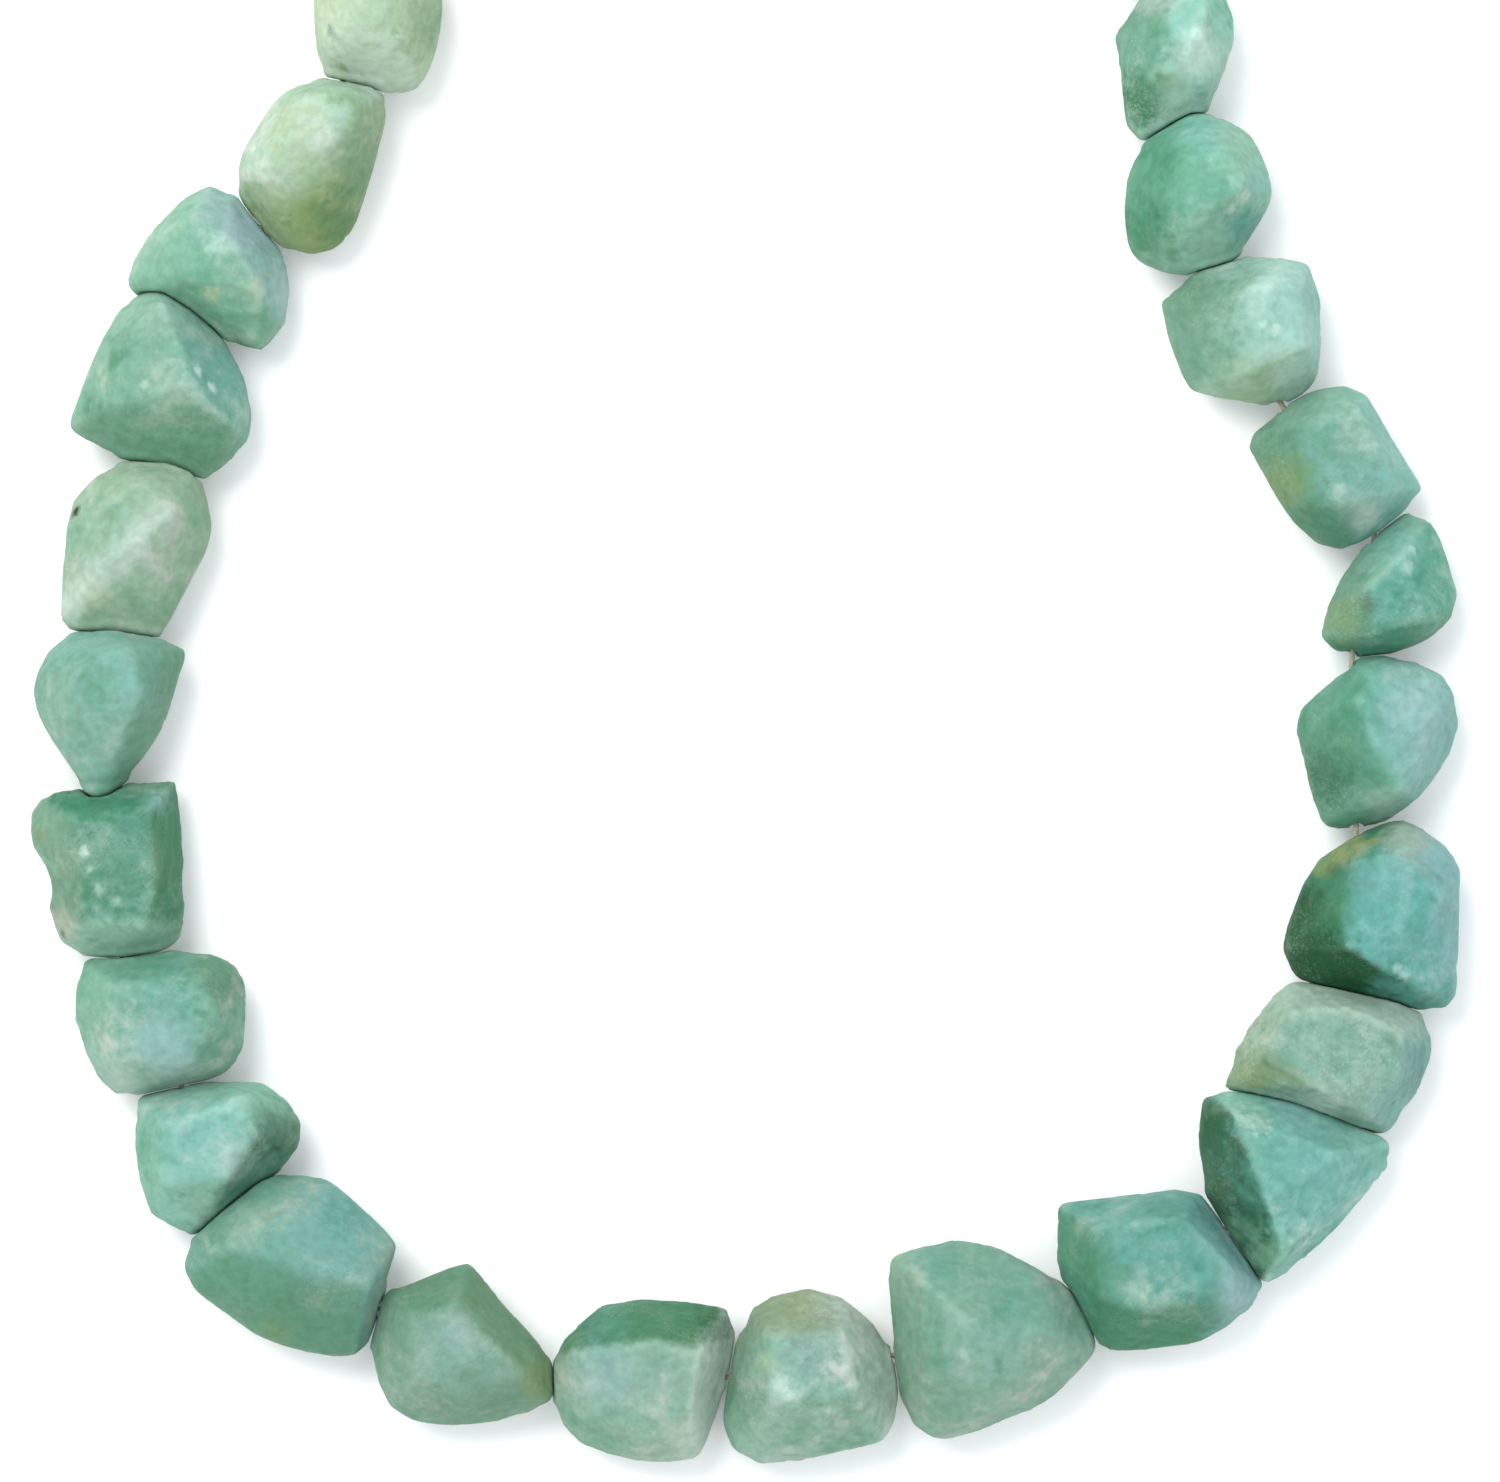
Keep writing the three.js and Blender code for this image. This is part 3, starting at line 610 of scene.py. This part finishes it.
                 (1408, 992, 1.5, "teal", 0.8), (1440, 1000, 2.2, "teal", 0.9),
                 (1372, 876, 2.6, "blue", 0.4), (1412, 940, 2.4, "teal", 0.5),
                 (1332, 872, 1.0, "bottle", 0.5), (1381, 984, 1.5, "teal", 0.6)],
    ),
    stone_19=dict(
        slot="sea_green_amazonite", deep="#41826a", body="#619988", pale="#8baea4", seed=19.7,
        milk=0.45, turn=(0, 0, 125), sugar=0.3, rugged=0.55,
        sides=[(190, "deep", 0.5), (10, "lilac", 0.3), (-110, "green", 0.4)],
        patches=[(1410, 720, 3.6, "lilac", 0.35), (1325, 745, 2.8, "green", 0.45),
                 (1345, 800, 3.0, "green", 0.3), (1322, 778, 2.4, "bottle", 0.5),
                 (1381, 804, 1.6, "milk", 0.35)],
    ),
    stone_20=dict(
        slot="teal_amazonite", deep="#367460", body="#4d8b78", pale="#7ca194", seed=20.3,
        milk=0.5, turn=(0, 0, 150), sugar=0.3, rugged=0.5,
        sides=[(-80, "deep", 0.35), (121, "mint", 0.6), (190, "deep", 0.5)],
        patches=[(1362, 608, 0.8, "brown", 0.5), (1342, 620, 2.0, "olive", 0.5),
                 (1390, 545, 2.6, "aqua", 0.45),
                 (1405, 640, 2.8, "deep", 0.3), (1412, 547, 0.45, "frost", 0.29),
                 (1408, 568, 0.55, "frost", 0.25)],
    ),
    stone_21=dict(
        slot="sea_green_amazonite", deep="#558874", body="#689688", pale="#93a69e", seed=21.6,
        milk=0.35, turn=(0, 0, 80), sugar=0.25, rugged=0.45, softness=9,
        sides=[(180, "green", 0.7), (-90, "deep", 0.4), (80, "mint", 0.4), (0, "aqua", 0.6)],
        patches=[(1340, 450, 3.0, "green", 0.35), (1268, 450, 2.2, "green", 0.6),
                 (1284, 484, 2.2, "olive", 0.6), (1361, 517, 1.6, "milk", 0.7),
                 (1320, 530, 2.8, "deep", 0.5), (1330, 495, 0.7, "milk", 0.5)],
    ),
    stone_22=dict(
        slot="pale_amazonite", deep="#78a594", body="#95b8ab", pale="#afc3bd", seed=22.5,
        milk=0.4, turn=(0, 0, 55), sugar=0.25, rugged=0.45, softness=8,
        sides=[(0, "blue", 0.4), (-80, "olive", 0.2), (170, "green", 0.8)],
        # The frost flecks at 1273, 336 and 1262, 329 are a painted highlight.
        patches=[(1235, 325, 3.2, "seaGreen", 0.25), (1305, 290, 2.6, "teal", 0.3),
                 (1185, 300, 2.2, "green", 0.35), (1250, 392, 3.4, "olive", 0.45),
                 (1273, 336, 0.45, "frost", 0.34), (1262, 329, 0.35, "frost", 0.29)],
    ),
    stone_23=dict(
        slot="teal_amazonite", deep="#498d74", body="#69a78f", pale="#94bdab", seed=23.8,
        milk=0.25, turn=(0, 0, 110), sugar=0.12, rugged=0.3, softness=70,
        sides=[(180, "deep", 0.5), (24, "mint", 0.5), (-80, "mint", 0.8)],
        # The milk patches at 1243, 203 and 1231, 214 are a short painted highlight along a ridge.
        patches=[(1200, 190, 4.2, "green", 0.4), (1245, 232, 2.0, "teal", 0.8),
                 (1235, 150, 2.4, "mint", 0.35), (1146, 240, 3.0, "deep", 0.55),
                 (1213, 242, 1.6, "mint", 0.5),
                 (1205, 135, 2.2, "blue", 0.4), (1258, 185, 1.8, "blue", 0.4),
                 (1243, 203, 0.8, "milk", 0.7), (1231, 214, 0.6, "milk", 0.6)],
    ),
    stone_24=dict(
        slot="pale_amazonite", deep="#64a088", body="#8cbcac", pale="#d4e0de", seed=24.1,
        milk=0.55, turn=(0, 0, 70), sugar=0.5, rugged=0.7, softness=8,
        sides=[(185, "deep", 0.6), (-30, "teal", 0.3), (-68, "mint", 0.7)],
        patches=[(1166, 80, 2.0, "mint", 0.4), (1164, 86, 1.4, "olive", 0.35),
                 (1187, 60, 2.2, "milk", 0.6), (1200, 14, 2.2, "seaGreen", 0.3),
                 (1198, 40, 0.6, "frost", 0.29), (1203, 97, 1.5, "teal", 0.4),
                 (1136, 104, 2.4, "deep", 0.9), (1168, 55, 0.9, "deep", 0.35),
                 (1178, 104, 1.6, "mint", 0.9), (1160, -6, 2.0, "milk", 0.8)],
    ),
    stone_25=dict(
        slot="sea_green_amazonite", deep="#2c7257", body="#60967f", pale="#94b2a3", seed=25.7,
        milk=0.35, turn=(0, 0, 20), sugar=0.2, rugged=0.45,
        sides=[(-20, "blue", 0.35), (160, "green", 0.4)],
        patches=[(1150, -120, 2.6, "blue", 0.4), (1100, -60, 2.4, "green", 0.4)],
    ),
    stone_26=dict(
        slot="teal_amazonite", deep="#2f705b", body="#4c8c7e", pale="#7ea79d", seed=26.2,
        milk=0.35, turn=(0, 0, 130), sugar=0.25, rugged=0.5,
        sides=[(45, "deep", 0.5)],
        patches=[(1000, -220, 2.8, "deep", 0.35), (1060, -180, 1.4, "milk", 0.4)],
    ),
    stone_27=dict(
        slot="milky_amazonite", deep="#4f836d", body="#799f8d", pale="#aab8b3", seed=27.9,
        milk=0.5, turn=(0, 0, 10), sugar=0.35, rugged=0.55,
        sides=[(-90, "green", 0.4), (120, "lilac", 0.3)],
        patches=[(880, -220, 2.6, "lilac", 0.4), (910, -190, 0.9, "cream", 0.5)],
    ),
    stone_28=dict(
        slot="teal_amazonite", deep="#326f55", body="#4d8669", pale="#7ea18a", seed=28.4,
        milk=0.4, turn=(0, 0, 90), sugar=0.22, rugged=0.5,
        sides=[(90, "deep", 0.5)],
        patches=[(700, -200, 2.8, "green", 0.4), (660, -260, 1.8, "khaki", 0.35)],
    ),
    stone_29=dict(
        slot="milky_amazonite", deep="#46806b", body="#6e9c8a", pale="#a2b7af", seed=29.1,
        milk=0.5, turn=(0, 0, 40), sugar=0.3, rugged=0.5,
        sides=[(180, "green", 0.4)],
        patches=[(560, -180, 2.4, "mint", 0.4), (530, -230, 2.2, "teal", 0.35)],
    ),
    stone_30=dict(
        slot="pale_amazonite", deep="#6f8e6b", body="#8faa8a", pale="#b4bba6", seed=30.6,
        milk=0.35, turn=(0, 0, 75), sugar=0.2, rugged=0.4,
        sides=[(150, "olive", 0.25)],
        patches=[(450, -120, 2.6, "cream", 0.3), (420, -90, 2.2, "olive", 0.3)],
    ),
)


# Where this stone lies in the endless field of clouds and breaks.
def driftOf(look):
    return Vector([look["seed"] * way for way in finish["drift"]])


def topAt(points, x, y):
    # the highest of the points that lie under this spot of the plan
    spot = onPlan(x, y) / mm
    away = np.hypot(points[:, 0] - spot.x, points[:, 1] - spot.y)
    near = points[away < away.min() + patchLook["fleckSearch"]]
    return near[near[:, 2].argmax()]


def facingFrom(azimuth):
    if azimuth in ("steep", "flat"):
        return facingLook[azimuth]
    angle = math.radians(azimuth)
    return dict(Way=(math.cos(angle), math.sin(angle), 0), **facingLook["sideways"])


def stoneMaterial(name, look, points):
    material = bpy.data.materials.new(name + "_amazonite")
    material.use_nodes = True
    tree = material.node_tree
    facing = put(tree, "Attribute", attribute_name="facing")["Vector"]
    place = placeInMillimetres(tree)
    grainPlace = combineVectors(tree, "ADD", place, driftOf(look))

    def use(group, **inputs):
        return put(tree, "Group", inputs, node_tree=groups[group])

    ground = use(
        "ground", Place=grainPlace, Deep=linear(look["deep"]), Body=linear(look["body"]),
        Pale=linear(look["pale"]),
    )
    turn = [math.radians(angle) for angle in look["turn"]]
    tone = use(
        "streaks", Color=ground["Color"], Place=grainPlace, Turn=turn,
        Milk=linear(tones["milk"]), Amount=look["milk"] * finish["milk"], Clouds=ground["Clouds"],
    )["Color"]
    for azimuth, sideTone, amount in [*paintedShadeAndSkyLight, *look["sides"]]:
        tone = use(
            "facing", Color=tone, Facing=facing, Tone=linear(tones[sideTone]), Amount=amount,
            Tatters=ground["Tatters"], **facingFrom(azimuth),
        )["Color"]
    for x, y, radius, patchTone, amount in look["patches"]:
        if radius < patchLook["fleckUnder"]:
            middle, stretch, rim = topAt(points, x, y), (1, 1, 1), ground["Crumbs"]
        else:
            squash = patchLook["squash"]
            middle = onPlan(x, y, squash * patchLook["height"]) / mm
            stretch, rim = (1, 1, squash), ground["Tatters"]
        tone = use(
            "patch", Color=tone, Place=place, Middle=middle, Stretch=stretch, Tatters=rim,
            Radius=radius * patchLook["spread"], Tone=linear(tones[patchTone]), Amount=amount,
        )["Color"]
    skin = use(
        "skin", Color=tone, Place=grainPlace, Sugar=look["sugar"], Clouds=ground["Clouds"],
        Wear=finish["wornAndLitRidges"], Frost=linear(tones["milk"]),
    )
    bump = put(tree, "Bump", {
        "Height": skin["Height"], "Strength": finish["bump"],
        "Distance": finish["bumpHeight"] * mm,
    })
    fill(tree, tree.nodes["Principled BSDF"], {
        "Base Color": skin["Color"],
        "Roughness": skin["Roughness"],
        "Normal": bump["Normal"],
        "IOR": finish["ior"],
        "Specular IOR Level": finish["gloss"],
        "Subsurface Weight": finish["glow"],
        "Subsurface Radius": finish["glowTint"],
        "Subsurface Scale": finish["glowDepth"] * mm,
        "Sheen Weight": finish["sheen"],
        "Sheen Roughness": finish["sheenRoughness"],
    })
    return material


# The thread's bends between the stones: x, y and height above the surface. The first stone's hole
# runs from the last bend to the first.
bends = [
    (345, 77, 5.0), (262, 228, 4.7), (165, 294, 4.5), (145, 458, 4.9), (100, 625, 4.7),
    (98, 799, 4.8), (120, 957, 4.5), (180, 1084, 4.7), (225, 1208, 4.9), (379, 1310, 5.0),
    (552, 1380, 4.7), (731, 1378, 4.8), (900, 1355, 5.0), (1085, 1301, 4.8), (1230, 1228, 4.9),
    (1304, 1100, 4.7), (1350, 984, 4.5), (1357, 830, 4.8), (1352, 656, 4.7), (1377, 530, 4.4),
    (1280, 402, 4.7), (1216, 268, 4.9), (1168, 127, 4.7), (1163, -34, 4.6), (1084, -146, 4.9),
    (951, -222, 4.8), (790, -238, 4.7), (630, -220, 4.8), (496, -168, 4.7), (404, -57, 4.9),
]
knotBend = 26

# Lengths are in millimetres. Scales and pairs are as in the looks above.
broken = dict(
    weld=0.001,  # points of the solid closer than this become one
    voxel=0.25,  # of the remesh
    softness=12,  # rounds of smoothing over the edges, unless a stone has its own
    pulls=(0.6, -0.3),  # of each round, inwards and back out, so that nothing shrinks
    hole=(0.7, 1.5),  # distances from its axis: no break before the first, all of it past the second
    holeSoftness=0.15,  # share of the smoothing that the hole's rim still gets
    foot=(0.15, 1.0),  # heights: no break under the first, all of it over the second
    sharp=0.09,  # how far the sharpest edges stood out before the smoothing
    swell=0.16,  # how far broad faces bulge and sink
    swellScale=0.23,
    scallop=0.16,  # depth of the shell-like hollows a break leaves
    scallopScale=0.36,
    scallopShape=(1.5, 0.6),  # how steep a hollow is, and how far it lies in
    ledge=0.13,  # height of the steps along the cleavage and across it
    ledgeWidths=(1.25, 1.9),
    ledgeScale=0.31,  # of the areas that have them
    ledgeFade=(6, 0.05),  # how fast such an area starts, and how much larger it is than the rest
    ledgeWave=(0.55, 0.45),  # how much and at what scale they wander
    nick=0.3,  # depth of the chips along the edges
    nickFrom=0.12,  # sharpness of the edges that have them
    nickScale=0.75,
    nickWave=(0.3, 0.7, 0.1),  # which way and at what scale their outlines wander
    nickWaveScale=1.1,
    nickWhole=0.45,  # share of an edge that stays whole
    nickLeast=0.4,  # what a stone has of them that isn't rugged at all, and of the grit
    gritLeast=0.3,
    grit=0.035,
    gritScale=1.7,
    gritShape=(0.9, 2.1, 3),  # how fine grit weakens, its steps in scale, and their number
    settle=0.6,  # one round of smoothing over the whole broken surface
)

# Where two stones touch. The gaps are between their two CAD solids.
lean = dict(
    slit=0.07,  # left between two stones that lean on each other
    within=1.4,  # of a neighbour, or a point stays as it is
    search=3,  # for the neighbour's surface
    near=(1.3, 0.6),  # gaps at which a point starts to count as near, and does in full
    close=(1.0, 0.5),  # gaps at which a face starts to lean over, and does in full
    rounding=0.9,  # smoothing of the edges where they lean
    rounds=12,
)

# Rounds of blurring, and how far a ridge or a hollow stands out or in to count.
worn = dict(
    edgeBlur=5,  # of how sharp the edges are before the break
    ridgeBlur=4,  # of how the surface bends after it
    facingBlur=17,  # many, so that tints fade over the edges of a face
    bend=(0.0026, 0.02),
)


def smoothStep(value, low, high):
    share = np.clip((value - low) / (high - low), 0, 1)
    return share * share * (3 - 2 * share)


def remeshed(node):
    mesh = node.data.copy()
    work = bmesh.new()
    work.from_mesh(mesh)
    bmesh.ops.remove_doubles(work, verts=work.verts, dist=broken["weld"] * mm)
    work.to_mesh(mesh)
    work.free()
    rough = bpy.data.objects.new("rough", mesh)
    bpy.context.scene.collection.objects.link(rough)
    remesh = rough.modifiers.new("evenMesh", "REMESH")
    remesh.mode = "VOXEL"
    remesh.voxel_size = broken["voxel"] * mm
    evaluated = rough.evaluated_get(bpy.context.evaluated_depsgraph_get())
    even = bpy.data.meshes.new_from_object(evaluated)
    bpy.data.objects.remove(rough)
    return even


def readPoints(mesh):
    points = np.empty(len(mesh.vertices) * 3, np.float32)
    mesh.vertices.foreach_get("co", points)
    return points.reshape(-1, 3).astype(float) / mm


def writePoints(mesh, points):
    mesh.vertices.foreach_set("co", (points * mm).astype(np.float32).ravel())
    mesh.update()


def readNet(mesh):
    edges = np.empty(len(mesh.edges) * 2, np.int32)
    mesh.edges.foreach_get("vertices", edges)
    ends = edges.reshape(-1, 2)
    ends = np.concatenate([ends, ends[:, ::-1]])
    return ends, np.bincount(ends[:, 0], minlength=len(mesh.vertices))


# The mean of each point's neighbours in the net.
def around(net, values):
    ends, count = net
    near = values[ends[:, 1]].reshape(len(ends), -1)
    columns = [np.bincount(ends[:, 0], column, len(values)) / count for column in near.T]
    return np.stack(columns, 1).reshape(values.shape)


def smoothed(net, points, weight, rounds):
    for _ in range(rounds):
        for pull in broken["pulls"]:
            points = points + pull * weight[:, None] * (around(net, points) - points)
    return points


def blurred(net, values, rounds):
    for _ in range(rounds):
        values = around(net, values)
    return values


def readNormals(mesh, points):
    writePoints(mesh, points)
    normals = np.empty(len(points) * 3, np.float32)
    mesh.vertex_normals.foreach_get("vector", normals)
    return normals.reshape(-1, 3).astype(float)


def awayFromHole(points, start, end):
    along = np.array((end - start).normalized())
    reach = points - np.array(start)
    return np.linalg.norm(reach - np.outer(reach @ along, along), axis=1)


# How far each point stands out, in millimetres: bulges, scallops, ledges, nicks and grit.
def breakage(points, edges, look):
    rugged, shift = look["rugged"], driftOf(look)
    cleave = Vector((math.sin(look["seed"]), math.cos(look["seed"] * 1.7), 0.5)).normalized()
    across = cleave.orthogonal().normalized()
    steep, deep = broken["scallopShape"]
    fast, larger = broken["ledgeFade"]
    wander, wanderScale = broken["ledgeWave"]
    bend = Vector(broken["nickWave"])
    out = np.empty(len(points))
    for k, point in enumerate(points):
        p = Vector(point) + shift
        rise = broken["swell"] * noise.noise(p * broken["swellScale"])
        near, _ = noise.voronoi(p * broken["scallopScale"])
        rise += broken["scallop"] * rugged * (near[0] * steep - deep)
        ledged = min(1, fast * (noise.noise(p * broken["ledgeScale"] + cleave) + larger))
        if ledged > 0:
            for way, width in zip((cleave, across), broken["ledgeWidths"]):
                climb = p.dot(way) / width + wander * noise.noise(p * wanderScale)
                rise += broken["ledge"] * rugged * ledged * (climb - math.floor(climb) - 0.5)
        if edges[k] > broken["nickFrom"]:
            bent = bend * noise.noise(p * broken["nickWaveScale"])
            chipped = max(0, noise.cell(p * broken["nickScale"] + bent) - broken["nickWhole"])
            rise -= broken["nick"] * edges[k] * chipped * (broken["nickLeast"] + rugged)
        grit = noise.fractal(p * broken["gritScale"], *broken["gritShape"])
        rise += broken["grit"] * (broken["gritLeast"] + rugged) * grit
        out[k] = rise
    return out


# Brings faces that nearly touch to a thin slit, and keeps every point on its own side. It also
# gives how near a neighbour each point is, from 0 to 1.
def leanOnNeighbours(points, own, others):
    nearness = np.zeros(len(points))
    for k, point in enumerate(points):
        spot = Vector(point) * mm
        if not any(tree.find_nearest(spot, lean["within"] * mm)[0] for tree in others):
            continue
        nearest, facing, _, _ = own.find_nearest(spot)
        found = [tree.find_nearest(nearest, lean["search"] * mm) for tree in others]
        gap = min(distance for hit, _, _, distance in found if hit) / mm
        nearness[k] = smoothStep(gap, *lean["near"])
        closing = 0.5 * (gap - lean["slit"]) - (spot - nearest).dot(facing) / mm
        if closing > 0:
            closing *= smoothStep(gap, *lean["close"])
        points[k] += closing * np.array(facing)
    return nearness


def keepOnMesh(mesh, name, kind, values):
    layer = mesh.attributes.new(name, kind, "POINT")
    key = "vector" if kind == "FLOAT_VECTOR" else "value"
    layer.data.foreach_set(key, values.astype(np.float32).ravel())


def makeStone(name, index, look, trees):
    mesh = remeshed(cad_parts[name])
    net = readNet(mesh)
    sharp = readPoints(mesh)
    start, end = (onPlan(*bends[k]) / mm for k in (index - 1, index))
    free = smoothStep(awayFromHole(sharp, start, end), *broken["hole"])
    soft = np.maximum(free, broken["holeSoftness"])
    points = smoothed(net, sharp, soft, look.get("softness", broken["softness"]))
    normals = readNormals(mesh, points)
    edges = blurred(net, np.einsum("ij,ij->i", sharp - points, normals), worn["edgeBlur"])
    edges = np.clip(edges / broken["sharp"], -1, 1) * free
    low = smoothStep(points[:, 2], *broken["foot"])
    points += (breakage(points, edges, look) * free * low)[:, None] * normals
    others = [trees[k % len(trees)] for k in (index - 1, index + 1)]
    nearness = leanOnNeighbours(points, trees[index], others)
    points = smoothed(net, points, np.full(len(points), broken["settle"]), 1)
    points = smoothed(net, points, lean["rounding"] * nearness * free, lean["rounds"])
    points[:, 2] = np.maximum(points[:, 2], 0)

    normals = readNormals(mesh, points)
    bend = np.einsum("ij,ij->i", points - around(net, points), normals)
    bend = blurred(net, bend, worn["ridgeBlur"])
    # ridge drives the whitening of the ridges, wear and painted highlight; hollow drives the painted
    # shade in the hollows.
    for attribute, values in (("ridge", bend), ("hollow", -bend)):
        strength = smoothStep(values, *worn["bend"]) * (1 - nearness)
        keepOnMesh(mesh, attribute, "FLOAT", strength)
    facing = blurred(net, normals, worn["facingBlur"])
    facing /= np.linalg.norm(facing, axis=1)[:, None]
    keepOnMesh(mesh, "facing", "FLOAT_VECTOR", facing)
    mesh.shade_smooth()
    mesh.materials.clear()
    mesh.materials.append(stoneMaterial(name, look, points))
    piece = bpy.data.objects.new("amazonite_" + name[-2:], mesh)
    bpy.context.scene.collection.objects.link(piece)
    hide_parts(name)
    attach(piece, "root")
    return piece


trees = []
for name in stones:
    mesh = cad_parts[name].data
    trees.append(BVHTree.FromPolygons(
        [v.co for v in mesh.vertices], [tuple(p.vertices) for p in mesh.polygons]
    ))
pieces = [makeStone(name, k, look, trees) for k, (name, look) in enumerate(stones.items())]
print("stones:", sum(len(piece.data.polygons) for piece in pieces), "faces")


threadLook = dict(
    diameter=0.5,
    plies=3,
    plyDepth=0.13,
    twist=1.5,  # length of one turn
    step=0.16,  # length of one ring of faces
    sides=12,
    setback=0.6,  # of the points that round a bend off
    knotRadius=0.56,
    knotWidth=1.15,
    knotHeight=0.62,
    knotSteps=60,
    tailLength=5,
    tailSpread=2.5,
    tailDrop=2.8,
    tailSteps=32,
    dark="#7f8268",
    light="#a9ab90",
    fibreScale=9.0,
    fibres=(0.35, 0.65),
    roughness=(0.3, 0.7, 0.9, 0.7),  # by the fibres
    bump=0.5,
    bumpHeight=0.03,
    sheen=0.3,
)


def threadRoute():
    order = bends[knotBend:] + bends[: knotBend + 1]
    points = [onPlan(*bend) / mm for bend in order]
    route = []
    for k, point in enumerate(points):
        for other in (k - 1, k + 1):
            if 0 <= other < len(points):
                toward = (points[other] - point).normalized()
                route.append(point + toward * threadLook["setback"])
    return route


def evenly(points, step):
    spots = [points[0]]
    for a, b in zip(points, points[1:]):
        parts = max(1, round((b - a).length / step))
        spots += [a.lerp(b, k / parts) for k in range(1, parts + 1)]
    return spots


# A tube whose plies turn round each other as it goes, closed at both ends.
def twistedTube(work, spots, radius):
    sides = threadLook["sides"]
    side = (spots[1] - spots[0]).orthogonal().normalized()
    rings, travelled = [], 0
    for k, spot in enumerate(spots):
        ahead = (spots[min(k + 1, len(spots) - 1)] - spots[max(k - 1, 0)]).normalized()
        side = (side - ahead * side.dot(ahead)).normalized()
        up = ahead.cross(side)
        if k:
            travelled += (spot - spots[k - 1]).length
        turn = 2 * math.pi * travelled / threadLook["twist"]
        ring = []
        for j in range(sides):
            angle = 2 * math.pi * j / sides
            groove = 1 - abs(math.cos(0.5 * threadLook["plies"] * (angle - turn)))
            reach = radius * (1 - threadLook["plyDepth"] * groove * 2)
            ring.append(work.verts.new(
                (spot + side * math.cos(angle) * reach + up * math.sin(angle) * reach) * mm
            ))
        rings.append(ring)
    for low, high in zip(rings, rings[1:]):
        for j in range(sides):
            work.faces.new((low[j], low[(j + 1) % sides], high[(j + 1) % sides], high[j]))
    work.faces.new(rings[0][::-1])
    work.faces.new(rings[-1])


def knotSpots(middle):
    # A small overhand knot: one turn of a trefoil.
    spots = []
    reach, width = threadLook["knotRadius"], threadLook["knotWidth"]
    for k in range(threadLook["knotSteps"] + 1):
        angle = 2 * math.pi * k / threadLook["knotSteps"]
        spots.append(middle + Vector((
            reach * (math.sin(angle) + 2 * math.sin(2 * angle)) / 3 * width,
            reach * (math.cos(angle) - 2 * math.cos(2 * angle)) / 3 * width,
            -reach * threadLook["knotHeight"] * math.sin(3 * angle),
        )))
    return spots


def tailSpots(middle, side):
    # A tail swings out to its side and sinks as it goes.
    spots = []
    for k in range(threadLook["tailSteps"] + 1):
        share = k / threadLook["tailSteps"]
        spots.append(middle + Vector((
            side * threadLook["tailSpread"] * share, threadLook["tailLength"] * share,
            -threadLook["tailDrop"] * share ** 2,
        )))
    return spots


def threadMaterial():
    material = bpy.data.materials.new("creamThread")
    material.use_nodes = True
    tree = material.node_tree
    fibres = speckle(tree, placeInMillimetres(tree), threadLook["fibreScale"], 4, 0.6)
    dark, light = (linear(threadLook[key]) for key in ("dark", "light"))
    bump = put(tree, "Bump", {
        "Height": fibres, "Strength": threadLook["bump"],
        "Distance": threadLook["bumpHeight"] * mm,
    })
    fill(tree, tree.nodes["Principled BSDF"], {
        "Base Color": mixTone(tree, ramp(tree, fibres, *threadLook["fibres"]), dark, light),
        "Roughness": ramp(tree, fibres, *threadLook["roughness"]),
        "Normal": bump["Normal"],
        "Sheen Weight": threadLook["sheen"],
    })
    return material


def makeThread():
    work = bmesh.new()
    radius = threadLook["diameter"] / 2
    middle = onPlan(*bends[knotBend]) / mm
    twistedTube(work, evenly(threadRoute(), threadLook["step"]), radius)
    twistedTube(work, knotSpots(middle), radius)
    for side in (1, -1):
        twistedTube(work, tailSpots(middle, side), radius)
    mesh = bpy.data.meshes.new("thread")
    work.to_mesh(mesh)
    work.free()
    mesh.shade_smooth()
    mesh.materials.append(threadMaterial())
    piece = bpy.data.objects.new("creamThread", mesh)
    bpy.context.scene.collection.objects.link(piece)
    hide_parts("thread")
    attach(piece, "root")


makeThread()
print("thread in place")
